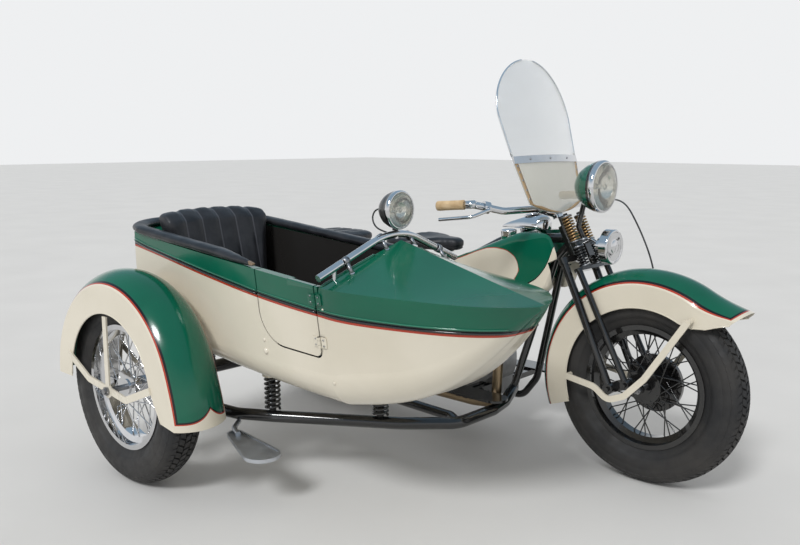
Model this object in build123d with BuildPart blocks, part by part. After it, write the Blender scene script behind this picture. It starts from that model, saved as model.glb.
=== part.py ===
from build123d import *
import math
import os

os.makedirs("parts", exist_ok=True)

# Driving sizes of the whole machine. While it is drawn, X runs forward from the rear axle, Y to the
# rider's left and Z up from the road.
wheelbase = 1511
track = 1200
sidecar_wheel_lead = 205
seat_gap = 0.3
pin_clearance = 0.3

# The finished model stands with its origin under the middle of its bounding box
origin_x = 725.2
origin_y = -436.6

# Wheels: one size all round
tyre_radius = 340
tyre_half_width = 64
tread_half_width = 54
shoulder_radius = 320
widest_radius = 268
bead_radius = 204
bead_half_width = 43
rim_half_width = 48
rim_flange_radius = 217
rim_well_radius = 180
rim_well_half_width = 13
rim_sheet = 3.5
spoke_count = 40
spoke_radius = 2.2
spoke_cross_angle = 52
hub_half_width = 38
hub_shell_radius = 27
hub_flange_radius = 59
hub_flange_y = 31
hub_flange_thickness = 5
axle_radius = 10

rear_axle = Vector(0, 0, tyre_radius)
front_axle_point = Vector(wheelbase, 0, tyre_radius)
sidecar_axle_point = Vector(sidecar_wheel_lead, -track, tyre_radius)

# Steering: the axis meets the road ahead of the front axle
rake = 27
steering_lead = 89
steering_foot = wheelbase + steering_lead
steer = Plane(
    origin=(steering_foot, 0, 0),
    x_dir=(math.cos(math.radians(rake)), 0, math.sin(math.radians(rake))),
    z_dir=(-math.sin(math.radians(rake)), 0, math.cos(math.radians(rake))),
)


def on_fork(forward, left, up):
    return steer.from_local_coords(Vector(forward, left, up))


def hand_over(piece, label):
    placed = piece.part.moved(Location((-origin_x, -origin_y, 0)))
    placed.label = label
    export_step(placed, f"parts/{label}.step")


def tube(points, bend, radius):
    with BuildPart() as run:
        with BuildLine() as path:
            if len(points) == 2:
                Line(*points)
            else:
                FilletPolyline(*points, radius=bend)
        with BuildSketch(Plane(origin=path.line @ 0, z_dir=path.line % 0)):
            Circle(radius)
        sweep(path=path.line)
    return run.part


def rod(start, end, radius):
    start = Vector(start)
    end = Vector(end)
    with BuildPart() as pin:
        with BuildSketch(Plane(origin=start, z_dir=end - start)):
            Circle(radius)
        extrude(amount=(end - start).length)
    return pin.part


def cord(points, radius):
    """Straight runs joined by arcs, each as large as its two runs allow."""
    places = [Vector(*point) for point in points]
    bends = []
    for before, corner, after in zip(places, places[1:], places[2:]):
        turn = math.radians((corner - before).get_angle(after - corner))
        shorter = min((corner - before).length, (after - corner).length)
        bends.append(0.45 * shorter / math.tan(turn / 2))
    run = tube(places, bends, radius)
    length = run.volume / (math.pi * radius**2)
    print("cord length", round(length), "radii", [round(bend) for bend in bends])
    return run


def wheel_plane(centre):
    return Plane(origin=centre, x_dir=(0, 1, 0), z_dir=(1, 0, 0))


def wheel_axis(centre):
    return Axis(origin=centre, direction=(0, 1, 0))


def polar(radius, angle, y):
    return Vector(
        radius * math.cos(math.radians(angle)), y, radius * math.sin(math.radians(angle))
    )


# Tyre and wire wheel, drawn once about the world origin
hub = Vector(0, 0, 0)
with BuildPart() as tyre:
    with BuildSketch(wheel_plane(hub)):
        with BuildLine():
            foot = (bead_half_width, bead_radius)
            ankle = (bead_half_width, rim_flange_radius)
            shoulder = (tread_half_width, shoulder_radius)
            ThreePointArc(ankle, (tyre_half_width, widest_radius), shoulder)
            ThreePointArc(shoulder, (0, tyre_radius), (-shoulder[0], shoulder[1]))
            ThreePointArc(
                (-shoulder[0], shoulder[1]), (-tyre_half_width, widest_radius), (-ankle[0], ankle[1])
            )
            Polyline((-ankle[0], ankle[1]), (-foot[0], foot[1]), foot, ankle)
        make_face()
    revolve(axis=wheel_axis(hub))

rim_outline = [
    (rim_half_width, rim_flange_radius),
    (rim_half_width, bead_radius - rim_sheet),
    (rim_well_half_width + rim_sheet + 8, bead_radius - rim_sheet - 2),
    (rim_well_half_width + rim_sheet, rim_well_radius),
]
rim_inside = [
    (rim_well_half_width, rim_well_radius + rim_sheet),
    (rim_well_half_width + 8, bead_radius - seat_gap - 1),
    (rim_half_width - rim_sheet, bead_radius - seat_gap),
    (rim_half_width - rim_sheet, rim_flange_radius),
]
rim_half = rim_outline + [(-y, r) for y, r in reversed(rim_outline)]
rim_back = [(-y, r) for y, r in reversed(rim_inside)] + rim_inside
spoke_places = []
for side in (1, -1):
    for k in range(spoke_count // 2):
        angle = 720 * k / spoke_count + (360 / spoke_count if side < 0 else 0)
        lead = 1 if k % 2 == 0 else -1
        start = polar(hub_flange_radius - 7, angle, side * (hub_flange_y + lead * spoke_radius))
        end = polar(rim_well_radius + 2, angle + lead * spoke_cross_angle, side * rim_well_half_width / 2)
        spoke_places.append(Plane(origin=start, z_dir=end - start).location)
        spoke_length = (end - start).length
with BuildPart() as wire_wheel:
    with BuildSketch(wheel_plane(hub)):
        with BuildLine():
            Polyline(*rim_half, *rim_back, close=True)
        make_face()
        with Locations((0, (axle_radius + pin_clearance + hub_shell_radius) / 2)):
            Rectangle(2 * hub_half_width, hub_shell_radius - axle_radius - pin_clearance)
        flange_middle = (hub_shell_radius + hub_flange_radius) / 2 - 2
        with Locations((hub_flange_y, flange_middle), (-hub_flange_y, flange_middle)):
            Rectangle(hub_flange_thickness, hub_flange_radius - hub_shell_radius + 4)
    revolve(axis=wheel_axis(hub))
    with Locations(*spoke_places):
        Cylinder(spoke_radius, spoke_length, align=(Align.CENTER, Align.CENTER, Align.MIN))

wheel_centres = {
    "front": front_axle_point,
    "rear": rear_axle,
    "sidecar": sidecar_axle_point,
}


def copy_at(piece, centre):
    with BuildPart() as placed:
        with Locations(Location(centre)):
            add(piece.part)
    return placed


for name, centre in wheel_centres.items():
    hand_over(copy_at(tyre, centre), f"{name}_tyre")
    hand_over(copy_at(wire_wheel, centre), f"{name}_wheel_spokes")

# Brake drums sit on the left end of the front and rear hubs, and turn with them. The rear one is
# deeper, so that its sprocket and the chain stand clear of the tyre.
drum_radius = 102
front_drum_depth = 21
rear_drum_depth = 34
drum_y = hub_half_width + seat_gap
sprocket_radius = 128
sprocket_thickness = 5
sprocket_teeth = 51
chain_y = 70


def brake_drum(depth):
    with BuildPart() as drum:
        with BuildSketch(Plane.XZ.offset(-drum_y)):
            Circle(drum_radius)
            Circle(axle_radius + pin_clearance, mode=Mode.SUBTRACT)
        extrude(amount=-depth)
        fillet(drum.edges().filter_by(GeomType.CIRCLE).group_by(Axis.Y)[-1].sort_by(SortBy.RADIUS)[-1:], 5)
    return drum


hand_over(copy_at(brake_drum(front_drum_depth), front_axle_point), "front_brake_drum")

rear_drum_blank = brake_drum(rear_drum_depth)
with BuildPart() as rear_drum:
    add(rear_drum_blank.part)
    with BuildSketch(Plane.XZ.offset(-chain_y + sprocket_thickness / 2)):
        Circle(sprocket_radius)
        with PolarLocations(sprocket_radius + 1, sprocket_teeth):
            Circle(4, mode=Mode.SUBTRACT)
        Circle(drum_radius - 10, mode=Mode.SUBTRACT)
    extrude(amount=-sprocket_thickness)
hand_over(copy_at(rear_drum, rear_axle), "rear_drum_and_sprocket")

# Fork, in the steering frame: rigid legs carry the head, spring legs carry the wheel through rockers
fork_leg_radius = 14
fork_leg_y = 95.5
fender_half_width = fork_leg_y - fork_leg_radius - seat_gap
rigid_foot = (-18, 378)
spring_foot = (49, 372)
crown_up = 845
crown_thickness = 22
stem_radius = 12.5
head_top_up = 975
bracket_up = 886
riser_half_width = 18
riser_back = 32
riser_front = 60
bracket_thickness = 12
rod_y = 45
rod_forward = 45
rod_radius = 8
spring_crown_up = 788
spring_crown_thickness = 12
rod_top_up = 1004
eye_radius = 19
eye_half = fork_leg_radius + 1
rocker_thickness = 14
rocker_y = fork_leg_y - eye_half - seat_gap - rocker_thickness
pivot_radius = 8

axle_forward = (wheelbase - steering_foot) * math.cos(math.radians(rake)) + tyre_radius * math.sin(
    math.radians(rake)
)
axle_up = -(wheelbase - steering_foot) * math.sin(math.radians(rake)) + tyre_radius * math.cos(
    math.radians(rake)
)

rigid_runs = []
for side in (1, -1):
    foot_point = on_fork(rigid_foot[0], side * fork_leg_y, rigid_foot[1])
    top_point = on_fork(0, side * fork_leg_y, crown_up)
    rigid_runs.append(rod(foot_point, top_point, fork_leg_radius))
    rigid_runs.append(
        rod(
            foot_point - Vector(0, eye_half, 0),
            foot_point + Vector(0, eye_half, 0),
            eye_radius,
        )
    )
crown_plane = Plane(
    origin=on_fork(0, 0, crown_up - crown_thickness / 2), x_dir=steer.x_dir, z_dir=steer.z_dir
)
bracket_plane = Plane(
    origin=on_fork(0, 0, bracket_up - bracket_thickness / 2), x_dir=steer.x_dir, z_dir=steer.z_dir
)
with BuildPart() as rigid_fork:
    add(rigid_runs)
    with BuildSketch(crown_plane):
        SlotCenterToCenter(2 * fork_leg_y, 2 * (fork_leg_radius + 5), rotation=90)
        with Locations((riser_front / 2, 0)):
            Rectangle(riser_front, 2 * riser_half_width)
    extrude(amount=crown_thickness)
    with BuildSketch(crown_plane):
        with Locations(((riser_front + riser_back) / 2, 0)):
            Rectangle(riser_front - riser_back, 2 * riser_half_width)
    extrude(amount=bracket_up - crown_up + crown_thickness / 2)
    with BuildSketch(bracket_plane):
        with Locations((rod_forward, 0)):
            RectangleRounded(34, 2 * (rod_y + 20), 14)
        with Locations((rod_forward, rod_y), (rod_forward, -rod_y)):
            Circle(rod_radius + 0.5, mode=Mode.SUBTRACT)
    extrude(amount=bracket_thickness)
    with BuildSketch(crown_plane):
        Circle(stem_radius)
    extrude(amount=head_top_up + 45 - crown_up)
    for side in (1, -1):
        pivot = on_fork(rigid_foot[0], side * fork_leg_y, rigid_foot[1])
        with BuildSketch(Plane(origin=pivot, x_dir=(1, 0, 0), z_dir=(0, 1, 0))):
            Circle(pivot_radius + pin_clearance)
        extrude(amount=eye_half, both=True, mode=Mode.SUBTRACT)
hand_over(rigid_fork, "fork_rigid_legs")

# Socket for the front brake cable, on the left spring leg
socket_up = 440
socket_y = fork_leg_y + 22
socket_place = on_fork(spring_foot[0] - 1, socket_y, socket_up)
socket_way = Vector(0.14, 0, 1).normalized()
cable_socket_top = socket_place + socket_way * (14 + seat_gap)
spring_runs = [
    rod(on_fork(spring_foot[0] - 1, fork_leg_y, socket_up), socket_place, 5),
    rod(socket_place - socket_way * 12, socket_place + socket_way * 14, 7),
]
for side in (1, -1):
    foot_point = on_fork(spring_foot[0], side * fork_leg_y, spring_foot[1])
    spring_runs.append(
        rod(foot_point, on_fork(rod_forward, side * fork_leg_y, spring_crown_up + 6), fork_leg_radius - 3)
    )
    spring_runs.append(
        rod(
            on_fork(rod_forward, side * rod_y, spring_crown_up + 3),
            on_fork(rod_forward, side * rod_y, rod_top_up),
            rod_radius,
        )
    )
    spring_runs.append(
        rod(
            foot_point - Vector(0, eye_half, 0),
            foot_point + Vector(0, eye_half, 0),
            eye_radius - 3,
        )
    )
with BuildPart() as spring_fork:
    add(spring_runs)
    with BuildSketch(Plane(origin=on_fork(0, 0, spring_crown_up), x_dir=steer.x_dir, z_dir=steer.z_dir)):
        with Locations((rod_forward, 0)):
            SlotCenterToCenter(2 * fork_leg_y, 34, rotation=90)
    extrude(amount=spring_crown_thickness)
    for side in (1, -1):
        pivot = on_fork(spring_foot[0], side * fork_leg_y, spring_foot[1])
        with BuildSketch(Plane(origin=pivot, x_dir=(1, 0, 0), z_dir=(0, 1, 0))):
            Circle(pivot_radius + pin_clearance)
        extrude(amount=eye_half, both=True, mode=Mode.SUBTRACT)
hand_over(spring_fork, "fork_spring_legs")

# Coil springs stand on the rods, two below the bracket and two above it
spring_radius = 21
wire_radius = 3.5
spring_rows = [
    # low end, high end
    (spring_crown_up + spring_crown_thickness + seat_gap, bracket_up - bracket_thickness / 2 - seat_gap),
    (bracket_up + bracket_thickness / 2 + seat_gap, rod_top_up - 8),
]
with BuildPart() as fork_springs:
    for low, high in spring_rows:
        turns = round((high - low) / 10.5)
        pitch = (high - low) / turns
        for side in (1, -1):
            stand = Plane(
                origin=on_fork(rod_forward, side * rod_y, low), x_dir=steer.x_dir, z_dir=steer.z_dir
            )
            with BuildSketch(Plane(origin=stand.origin, x_dir=stand.x_dir, z_dir=-stand.y_dir)):
                with Locations(((spring_radius + rod_radius + 1) / 2 - 2, (high - low) / 2)):
                    Rectangle(spring_radius - rod_radius - 5, high - low)
                with Locations(*[(spring_radius - wire_radius, (k + 0.5) * pitch) for k in range(turns)]):
                    Circle(wire_radius)
            revolve(axis=Axis(stand.origin, stand.z_dir))
hand_over(fork_springs, "fork_springs")

# Rockers link both feet of the fork to the axle
axle_point = (axle_forward, axle_up)
rocker_parts = []
for side in (1, -1):
    with BuildPart() as rocker:
        with BuildSketch(Plane(origin=on_fork(0, side * rocker_y, 0), x_dir=steer.x_dir, z_dir=(0, side, 0))):
            flip = -side
            for a, b in ((rigid_foot, spring_foot), (spring_foot, axle_point)):
                middle = ((a[0] + b[0]) / 2, flip * (a[1] + b[1]) / 2)
                reach = math.hypot(b[0] - a[0], b[1] - a[1])
                lean = math.degrees(math.atan2(flip * (b[1] - a[1]), b[0] - a[0]))
                with Locations(Location(middle, lean)):
                    SlotCenterToCenter(reach, 36)
            with Locations((axle_point[0], flip * axle_point[1])):
                Circle(axle_radius + pin_clearance, mode=Mode.SUBTRACT)
        extrude(amount=rocker_thickness)
    rocker_parts.append(rocker.part)
    for foot in (rigid_foot, spring_foot):
        centre = on_fork(foot[0], side * rocker_y, foot[1])
        outer = centre + Vector(0, side * (rocker_thickness + 2 * eye_half + 10), 0)
        rocker_parts.append(rod(centre, outer, pivot_radius))
with BuildPart() as rockers:
    add(rocker_parts)
hand_over(rockers, "fork_rockers")

# Axles with their nuts: the front one is held by the rockers, the rear by the frame
axle_nut_radius = 15
axle_nut_thickness = 10


def axle(centre, low_y, high_y, nut_low, nut_high):
    nuts = []
    for nut_y in (nut_low, nut_high):
        with BuildPart() as nut:
            with BuildSketch(Plane(origin=(centre.X, nut_y, centre.Z), x_dir=(1, 0, 0), z_dir=(0, 1, 0))):
                RegularPolygon(axle_nut_radius, 6)
            extrude(amount=axle_nut_thickness)
        nuts.append(nut.part)
    pin = rod((centre.X, low_y, centre.Z), (centre.X, high_y, centre.Z), axle_radius)
    with BuildPart() as whole:
        add([pin, *nuts])
    return whole


front_nut_y = rocker_y + rocker_thickness + seat_gap
front_axle = axle(
    front_axle_point,
    -front_nut_y - axle_nut_thickness - 6,
    front_nut_y + axle_nut_thickness + 6,
    -front_nut_y - axle_nut_thickness,
    front_nut_y,
)
hand_over(front_axle, "front_axle")

# Fenders: one bent sheet with a crown over the tread and a skirt down each side
fender_sheet = 2.5
front_fender_crown = 405
front_fender_edge = 357
front_skirt_inner = 281


def fender_section(centre, angle, half_width, edge_radius, crown_radius, skirt_inner):
    """Section of the sheet on the plane through the wheel's axle at this angle."""
    sheet = fender_sheet
    plane = Plane(
        origin=centre,
        x_dir=(0, 1, 0),
        z_dir=(-math.sin(math.radians(angle)), 0, math.cos(math.radians(angle))),
    )
    outward = 1 if plane.y_dir.dot(polar(1, angle, 0)) > 0 else -1
    with BuildSketch(plane) as section:
        with BuildLine():
            ThreePointArc(
                (-half_width, outward * edge_radius),
                (0, outward * crown_radius),
                (half_width, outward * edge_radius),
            )
            Polyline(
                (half_width, outward * edge_radius),
                (half_width, outward * skirt_inner),
                (half_width - sheet, outward * skirt_inner),
                (half_width - sheet, outward * edge_radius),
            )
            ThreePointArc(
                (half_width - sheet, outward * edge_radius),
                (0, outward * (crown_radius - sheet)),
                (-half_width + sheet, outward * edge_radius),
            )
            Polyline(
                (-half_width + sheet, outward * edge_radius),
                (-half_width + sheet, outward * skirt_inner),
                (-half_width, outward * skirt_inner),
                (-half_width, outward * edge_radius),
            )
        make_face()
    return section.sketch


def fender(centre, half_width, edge_radius, crown_radius, skirt_inner, start_angle, end_angle, lip_rows=()):
    """Sheet turned about the wheel from start_angle to end_angle, counted up from straight ahead,
    with a lip that flares off the circle through lip_rows of angle, edge, crown and skirt radius."""
    first = fender_section(centre, start_angle, half_width, edge_radius, crown_radius, skirt_inner)
    with BuildPart() as sheet_metal:
        add(first)
        revolve(axis=Axis(origin=centre, direction=(0, -1, 0)), revolution_arc=end_angle - start_angle)
        if lip_rows:
            loft([first] + [fender_section(centre, row[0], half_width, *row[1:]) for row in lip_rows])
    return sheet_metal


# columns: angle, edge radius, crown radius, inner radius of the skirt
front_lip = [(55, 362, 409, 290), (48, 384, 424, 326), (42, 416, 446, 396)]
front_fender = fender(
    front_axle_point,
    fender_half_width,
    front_fender_edge,
    front_fender_crown,
    front_skirt_inner,
    62,
    200,
    front_lip,
)
hand_over(front_fender, "front_fender")

# Front fender brace: a flat bar outside each fork leg, bossed to the skirt at both ends
brace_y = fork_leg_y + eye_half + seat_gap
brace_thickness = 6
brace_width = 22
pin_end_y = rocker_y + rocker_thickness + 2 * eye_half + 10
# columns: forward of the front axle, z
brace_steps = [(-260, 347), (-147, 330), (-95, 292), (-33, 318), (37, 391), (175, 604)]
brace_points = [(wheelbase + forward, z) for forward, z in brace_steps]
brace_bends = [60, 40, 40, 60]
brace_parts = []
for side in (1, -1):
    with BuildPart() as bar:
        with BuildLine(Plane(origin=(0, side * brace_y, 0), x_dir=(1, 0, 0), z_dir=(0, -1, 0))) as bar_line:
            FilletPolyline(*brace_points, radius=brace_bends)
        with BuildSketch(Plane(origin=bar_line.line @ 0, x_dir=(0, side, 0), z_dir=bar_line.line % 0)):
            with Locations((brace_thickness / 2, 0)):
                Rectangle(brace_thickness, brace_width)
        sweep(path=bar_line.line)
        for foot in (rigid_foot, spring_foot):
            pivot = on_fork(foot[0], side * brace_y, foot[1])
            with BuildSketch(Plane(origin=pivot, x_dir=(1, 0, 0), z_dir=(0, 1, 0))):
                Circle(pivot_radius + pin_clearance)
            extrude(amount=brace_thickness * 2, both=True, mode=Mode.SUBTRACT)
    brace_parts.append(bar.part)
    for x, z in (brace_points[0], brace_points[-1]):
        brace_parts.append(
            rod((x, side * (fender_half_width + seat_gap), z), (x, side * (brace_y + 2), z), 8)
        )
with BuildPart() as fender_brace:
    add(brace_parts)
hand_over(fender_brace, "front_fender_brace")

# Frame: head tube, twin down tubes into the lower rails, backbone, seat tube and rear stays
frame_tube = 14
head_radius = 24
head_low_up = crown_up + crown_thickness / 2 + 2
rail_z = 165
rail_y = 78
stay_y = 118
dropout_thickness = 10
head_low = on_fork(-12, 0, head_low_up + 42)
down_tube_knee = on_fork(-70, 26, head_low_up + 16)
head_high = on_fork(-6, 0, head_top_up - 48)
seat_tube_top = (600, 0, 645)
seat_tube_foot = (600, 0, rail_z)
saddle_socket_z = 684
stay_foot_x = 205
front_lug = (1002, -rail_y + 2, 243)
rear_lug = (stay_foot_x, -97, 239)
upper_lug = (450, -105, 560)
lug_radius = 19
lug_reach = 34
frame_runs = [
    rod(on_fork(0, 0, head_low_up), on_fork(0, 0, head_top_up), head_radius),
    tube([head_high, (900, 0, 800), seat_tube_top], 200, frame_tube + 4),
    rod(seat_tube_top, seat_tube_foot, frame_tube + 2),
    rod((seat_tube_top[0], 0, seat_tube_top[2] - 5), (seat_tube_top[0], 0, saddle_socket_z), frame_tube + 5),
    rod((seat_tube_foot[0], -rail_y, rail_z), (seat_tube_foot[0], rail_y, rail_z), frame_tube - 3),
]
for side in (1, -1):
    frame_runs.append(
        tube(
            [
                (head_low.X, side * 16, head_low.Z),
                (down_tube_knee.X, side * down_tube_knee.Y, down_tube_knee.Z),
                (1005, side * rail_y, 250),
                (940, side * rail_y, rail_z),
                (330, side * rail_y, rail_z),
                (60, side * stay_y, 325),
            ],
            [40, 90, 60, 90],
            frame_tube,
        )
    )
    frame_runs.append(
        tube(
            [
                (seat_tube_top[0] - 3, side * 14, seat_tube_top[2] - 60),
                (450, side * 105, 560),
                (60, side * stay_y, 355),
            ],
            120,
            frame_tube - 2,
        )
    )
# Lugs on the right side take the ends of the sidecar chassis face to face
lug_faces = {}
for name, start, way in (
    ("front", front_lug, Vector(0.25, -1, -0.35)),
    ("rear", rear_lug, Vector(0, -1, 0.9)),
    ("upper", upper_lug, Vector(0, -1, -0.9)),
):
    way = way.normalized()
    face = Vector(*start) + way * lug_reach
    lug_faces[name] = Plane(origin=face + way * seat_gap, z_dir=way)
    frame_runs.append(rod(start, face, lug_radius))

# Boss for the side stand on the left rail
stand_radius = 9
stand_eye_radius = 14
stand_eye_half = 10
stand_pin_radius = 6
stand_pivot = Vector(700, rail_y + frame_tube + 20, rail_z + 11)
boss_end = stand_pivot - Vector(0, stand_eye_half + seat_gap, 0)
frame_runs.append(rod((stand_pivot.X, rail_y, stand_pivot.Z), boss_end, stand_eye_radius - 3))
stand_pin_end = stand_pivot + Vector(0, stand_eye_half + 4, 0)
frame_runs.append(rod((stand_pivot.X, rail_y, stand_pivot.Z), stand_pin_end, stand_pin_radius))
# Struts from the rear axle plates lie against the skirts of the rear fender
rear_fender_half_width = 84
strut_tube = 6
for side in (1, -1):
    strut_y = side * (rear_fender_half_width + strut_tube + seat_gap)
    frame_runs.append(
        tube([(-6, side * stay_y, 362), (-50, strut_y, 560), (-60, strut_y, 700)], 60, strut_tube)
    )
with BuildPart() as frame:
    add(frame_runs)
    for side in (1, -1):
        with BuildSketch(
            Plane(
                origin=(0, side * (stay_y - dropout_thickness / 2), tyre_radius),
                x_dir=(1, 0, 0),
                z_dir=(0, side, 0),
            )
        ):
            with Locations((40, 0)):
                RectangleRounded(120, 76, 20)
            Circle(axle_radius + pin_clearance, mode=Mode.SUBTRACT)
        extrude(amount=dropout_thickness)
    with BuildSketch(Plane(origin=on_fork(0, 0, head_low_up - 5), x_dir=steer.x_dir, z_dir=steer.z_dir)):
        Circle(stem_radius + 0.5)
    extrude(amount=head_top_up - head_low_up + 10, mode=Mode.SUBTRACT)
hand_over(frame, "frame")

rear_nut_y = stay_y + dropout_thickness / 2 + seat_gap
rear_axle_pin = axle(
    rear_axle,
    -rear_nut_y - axle_nut_thickness - 6,
    rear_nut_y + axle_nut_thickness + 6,
    -rear_nut_y - axle_nut_thickness,
    rear_nut_y,
)
hand_over(rear_axle_pin, "rear_axle")

# Engine: crankcase, two finned cylinders in a 45 degree V, heads and a cam cover on the right
crank = Vector(800, 0, 310)
case_radius = 118
case_half_width = 62
cylinder_lean = 22.5
barrel_radius = 44
fin_radius = 70
fin_thickness = 3
fin_pitch = 10
fin_rows = 15
barrel_start = 105
barrel_length = 165
head_width = 120
head_depth = 118
head_height = 38
rocker_box_height = 30
case_floor = rail_z + frame_tube + 4

intake_radius = 15
intake_z = 566
intake_end_y = 40
cylinder_parts = []
for lean in (-cylinder_lean, cylinder_lean):
    bore_axis = Vector(-math.sin(math.radians(lean)), 0, math.cos(math.radians(lean)))
    across = Vector(math.cos(math.radians(lean)), 0, math.sin(math.radians(lean)))
    with BuildPart() as cylinder:
        with BuildSketch(Plane(origin=crank, x_dir=across, z_dir=across.cross(bore_axis))):
            with Locations((barrel_radius / 2, barrel_start + barrel_length / 2)):
                Rectangle(barrel_radius, barrel_length)
            with Locations(*[(fin_radius / 2, barrel_start + 14 + k * fin_pitch) for k in range(fin_rows)]):
                Rectangle(fin_radius, fin_thickness)
        revolve(axis=Axis(crank, bore_axis))
        head_seat = crank + bore_axis * (barrel_start + barrel_length)
        with BuildSketch(Plane(origin=head_seat, x_dir=across, z_dir=bore_axis)):
            RectangleRounded(head_depth, head_width, 30)
        extrude(amount=head_height)
        with BuildSketch(Plane(origin=head_seat + bore_axis * head_height, x_dir=across, z_dir=bore_axis)):
            RectangleRounded(head_depth - 32, head_width - 16, 20)
        extrude(amount=rocker_box_height)
    cylinder_parts.append(cylinder.part)
push_rod_tubes = [
    rod((crank.X + foot, -case_half_width - 14, crank.Z + 86), (crank.X + top, -50, 562), 8)
    for foot, top in ((-46, -118), (-18, -84), (18, 84), (46, 118))
]
with BuildPart() as engine:
    with BuildSketch(Plane.XZ.offset(-case_half_width)):
        with Locations((crank.X, crank.Z)):
            Circle(case_radius)
        with Locations((crank.X, (crank.Z + case_floor) / 2)):
            Rectangle(1.7 * case_radius, crank.Z - case_floor)
    extrude(amount=2 * case_half_width)
    with BuildSketch(Plane.XY.offset(rail_z + frame_tube + seat_gap)):
        with Locations((crank.X, 0)):
            Rectangle(190, 2 * rail_y - 2)
    extrude(amount=12)
    add(cylinder_parts)
    add(rod((crank.X - 60, 0, intake_z), (crank.X + 60, 0, intake_z), intake_radius))
    add(rod((crank.X, 0, intake_z), (crank.X, intake_end_y, intake_z), intake_radius - 1))
    add(push_rod_tubes)
    with BuildSketch(Plane.XZ.offset(case_half_width)):
        with Locations((crank.X + 20, crank.Z + 14)):
            Ellipse(110, 84)
    extrude(amount=30)
hand_over(engine, "engine")

# Carburettor and its round air cleaner, on the left between the cylinders
cleaner_radius = 72
cleaner_drop = 30
cleaner_start_y = 86
cleaner_depth = 42
with BuildPart() as carburettor:
    add(rod((crank.X, intake_end_y + seat_gap, intake_z), (crank.X, cleaner_start_y + 2, intake_z), 21))
    with BuildSketch(Plane.XZ.offset(-cleaner_start_y)):
        with Locations((crank.X, intake_z - cleaner_drop)):
            Circle(cleaner_radius)
    extrude(amount=-cleaner_depth)
    fillet(carburettor.faces().sort_by(Axis.Y)[-1].edges(), 8)
hand_over(carburettor, "carburettor")

gearbox_x = 500
gearbox_z = 300
gearbox_sprocket_radius = 42
with BuildPart() as gearbox:
    with BuildSketch(Plane.XZ.offset(-60)):
        with Locations((gearbox_x, gearbox_z)):
            RectangleRounded(160, 170, 40)
    extrude(amount=125)
    with BuildSketch(Plane.XZ.offset(-59)):
        with Locations((gearbox_x, gearbox_z)):
            Circle(14)
    extrude(amount=-(chain_y + 3 - 59))
    with BuildSketch(Plane.XZ.offset(-chain_y + 2.5)):
        with Locations((gearbox_x, gearbox_z)):
            Circle(gearbox_sprocket_radius)
    extrude(amount=-5)
hand_over(gearbox, "gearbox")

# Drive chain: a flat band round both sprockets
chain_height = 9
chain_width = 8
with BuildPart() as drive_chain:
    with BuildSketch(Plane.XZ.offset(-chain_y + chain_width / 2)) as chain_sketch:
        with Locations((rear_axle.X, rear_axle.Z)):
            Circle(sprocket_radius + seat_gap + chain_height)
        with Locations((gearbox_x, gearbox_z)):
            Circle(gearbox_sprocket_radius + seat_gap + chain_height)
        make_hull()
        with BuildSketch(Plane.XZ.offset(-chain_y + chain_width / 2), mode=Mode.PRIVATE) as inside:
            with Locations((rear_axle.X, rear_axle.Z)):
                Circle(sprocket_radius + seat_gap)
            with Locations((gearbox_x, gearbox_z)):
                Circle(gearbox_sprocket_radius + seat_gap)
            make_hull()
        add(inside.sketch_local, mode=Mode.SUBTRACT)
    extrude(amount=-chain_width)
hand_over(drive_chain, "drive_chain")

primary_y = chain_y + 12
primary_depth = 48
primary_boss_radius = 60
with BuildPart() as primary_cover:
    with BuildSketch(Plane.XZ.offset(-primary_y)):
        with BuildLine():
            Line((crank.X, crank.Z + 80), (gearbox_x, gearbox_z + 105))
            ThreePointArc(
                (gearbox_x, gearbox_z + 105), (gearbox_x - 105, gearbox_z), (gearbox_x, gearbox_z - 105)
            )
            Line((gearbox_x, gearbox_z - 105), (crank.X, crank.Z - 80))
            ThreePointArc((crank.X, crank.Z - 80), (crank.X + 80, crank.Z), (crank.X, crank.Z + 80))
        make_face()
    extrude(amount=-primary_depth)
    fillet(primary_cover.faces().sort_by(Axis.Y)[-1].edges(), 18)
    with BuildSketch(Plane.XZ.offset(-case_half_width - seat_gap)):
        with Locations((crank.X, crank.Z)):
            Circle(primary_boss_radius)
    extrude(amount=-(primary_y - case_half_width))
hand_over(primary_cover, "primary_cover")

# Exhaust: two header pipes join a silencer low on the right
pipe_radius = 19
exhaust_y = -140
silencer_radius = 42
exhaust_z = 178
port_y = -head_width / 2 - seat_gap
exhaust_runs = [
    tube(
        [
            (930, port_y, 572),
            (930, -120, 572),
            (980, exhaust_y, 450),
            (966, exhaust_y, 190),
            (860, exhaust_y, exhaust_z),
            (500, exhaust_y, exhaust_z),
        ],
        [34, 60, 60, 60],
        pipe_radius,
    ),
    tube(
        [
            (670, port_y, 572),
            (670, -132, 572),
            (650, exhaust_y, 330),
            (580, exhaust_y, exhaust_z + 6),
            (480, exhaust_y, exhaust_z),
        ],
        [30, 50, 60],
        pipe_radius - 1,
    ),
]
with BuildPart() as exhaust:
    add(exhaust_runs)
    with BuildSketch(Plane(origin=(0, exhaust_y, exhaust_z), x_dir=(1, 0, 0), z_dir=(0, -1, 0))):
        with BuildLine():
            FilletPolyline(
                (520, 0),
                (520, pipe_radius),
                (440, silencer_radius),
                (-60, silencer_radius),
                (-140, 24),
                (-260, 24),
                (-260, 0),
                radius=[4, 30, 20, 10, 2],
            )
            Line((-260, 0), (520, 0))
        make_face()
    revolve(axis=Axis(origin=(0, exhaust_y, exhaust_z), direction=(1, 0, 0)))
hand_over(exhaust, "exhaust")

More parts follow.
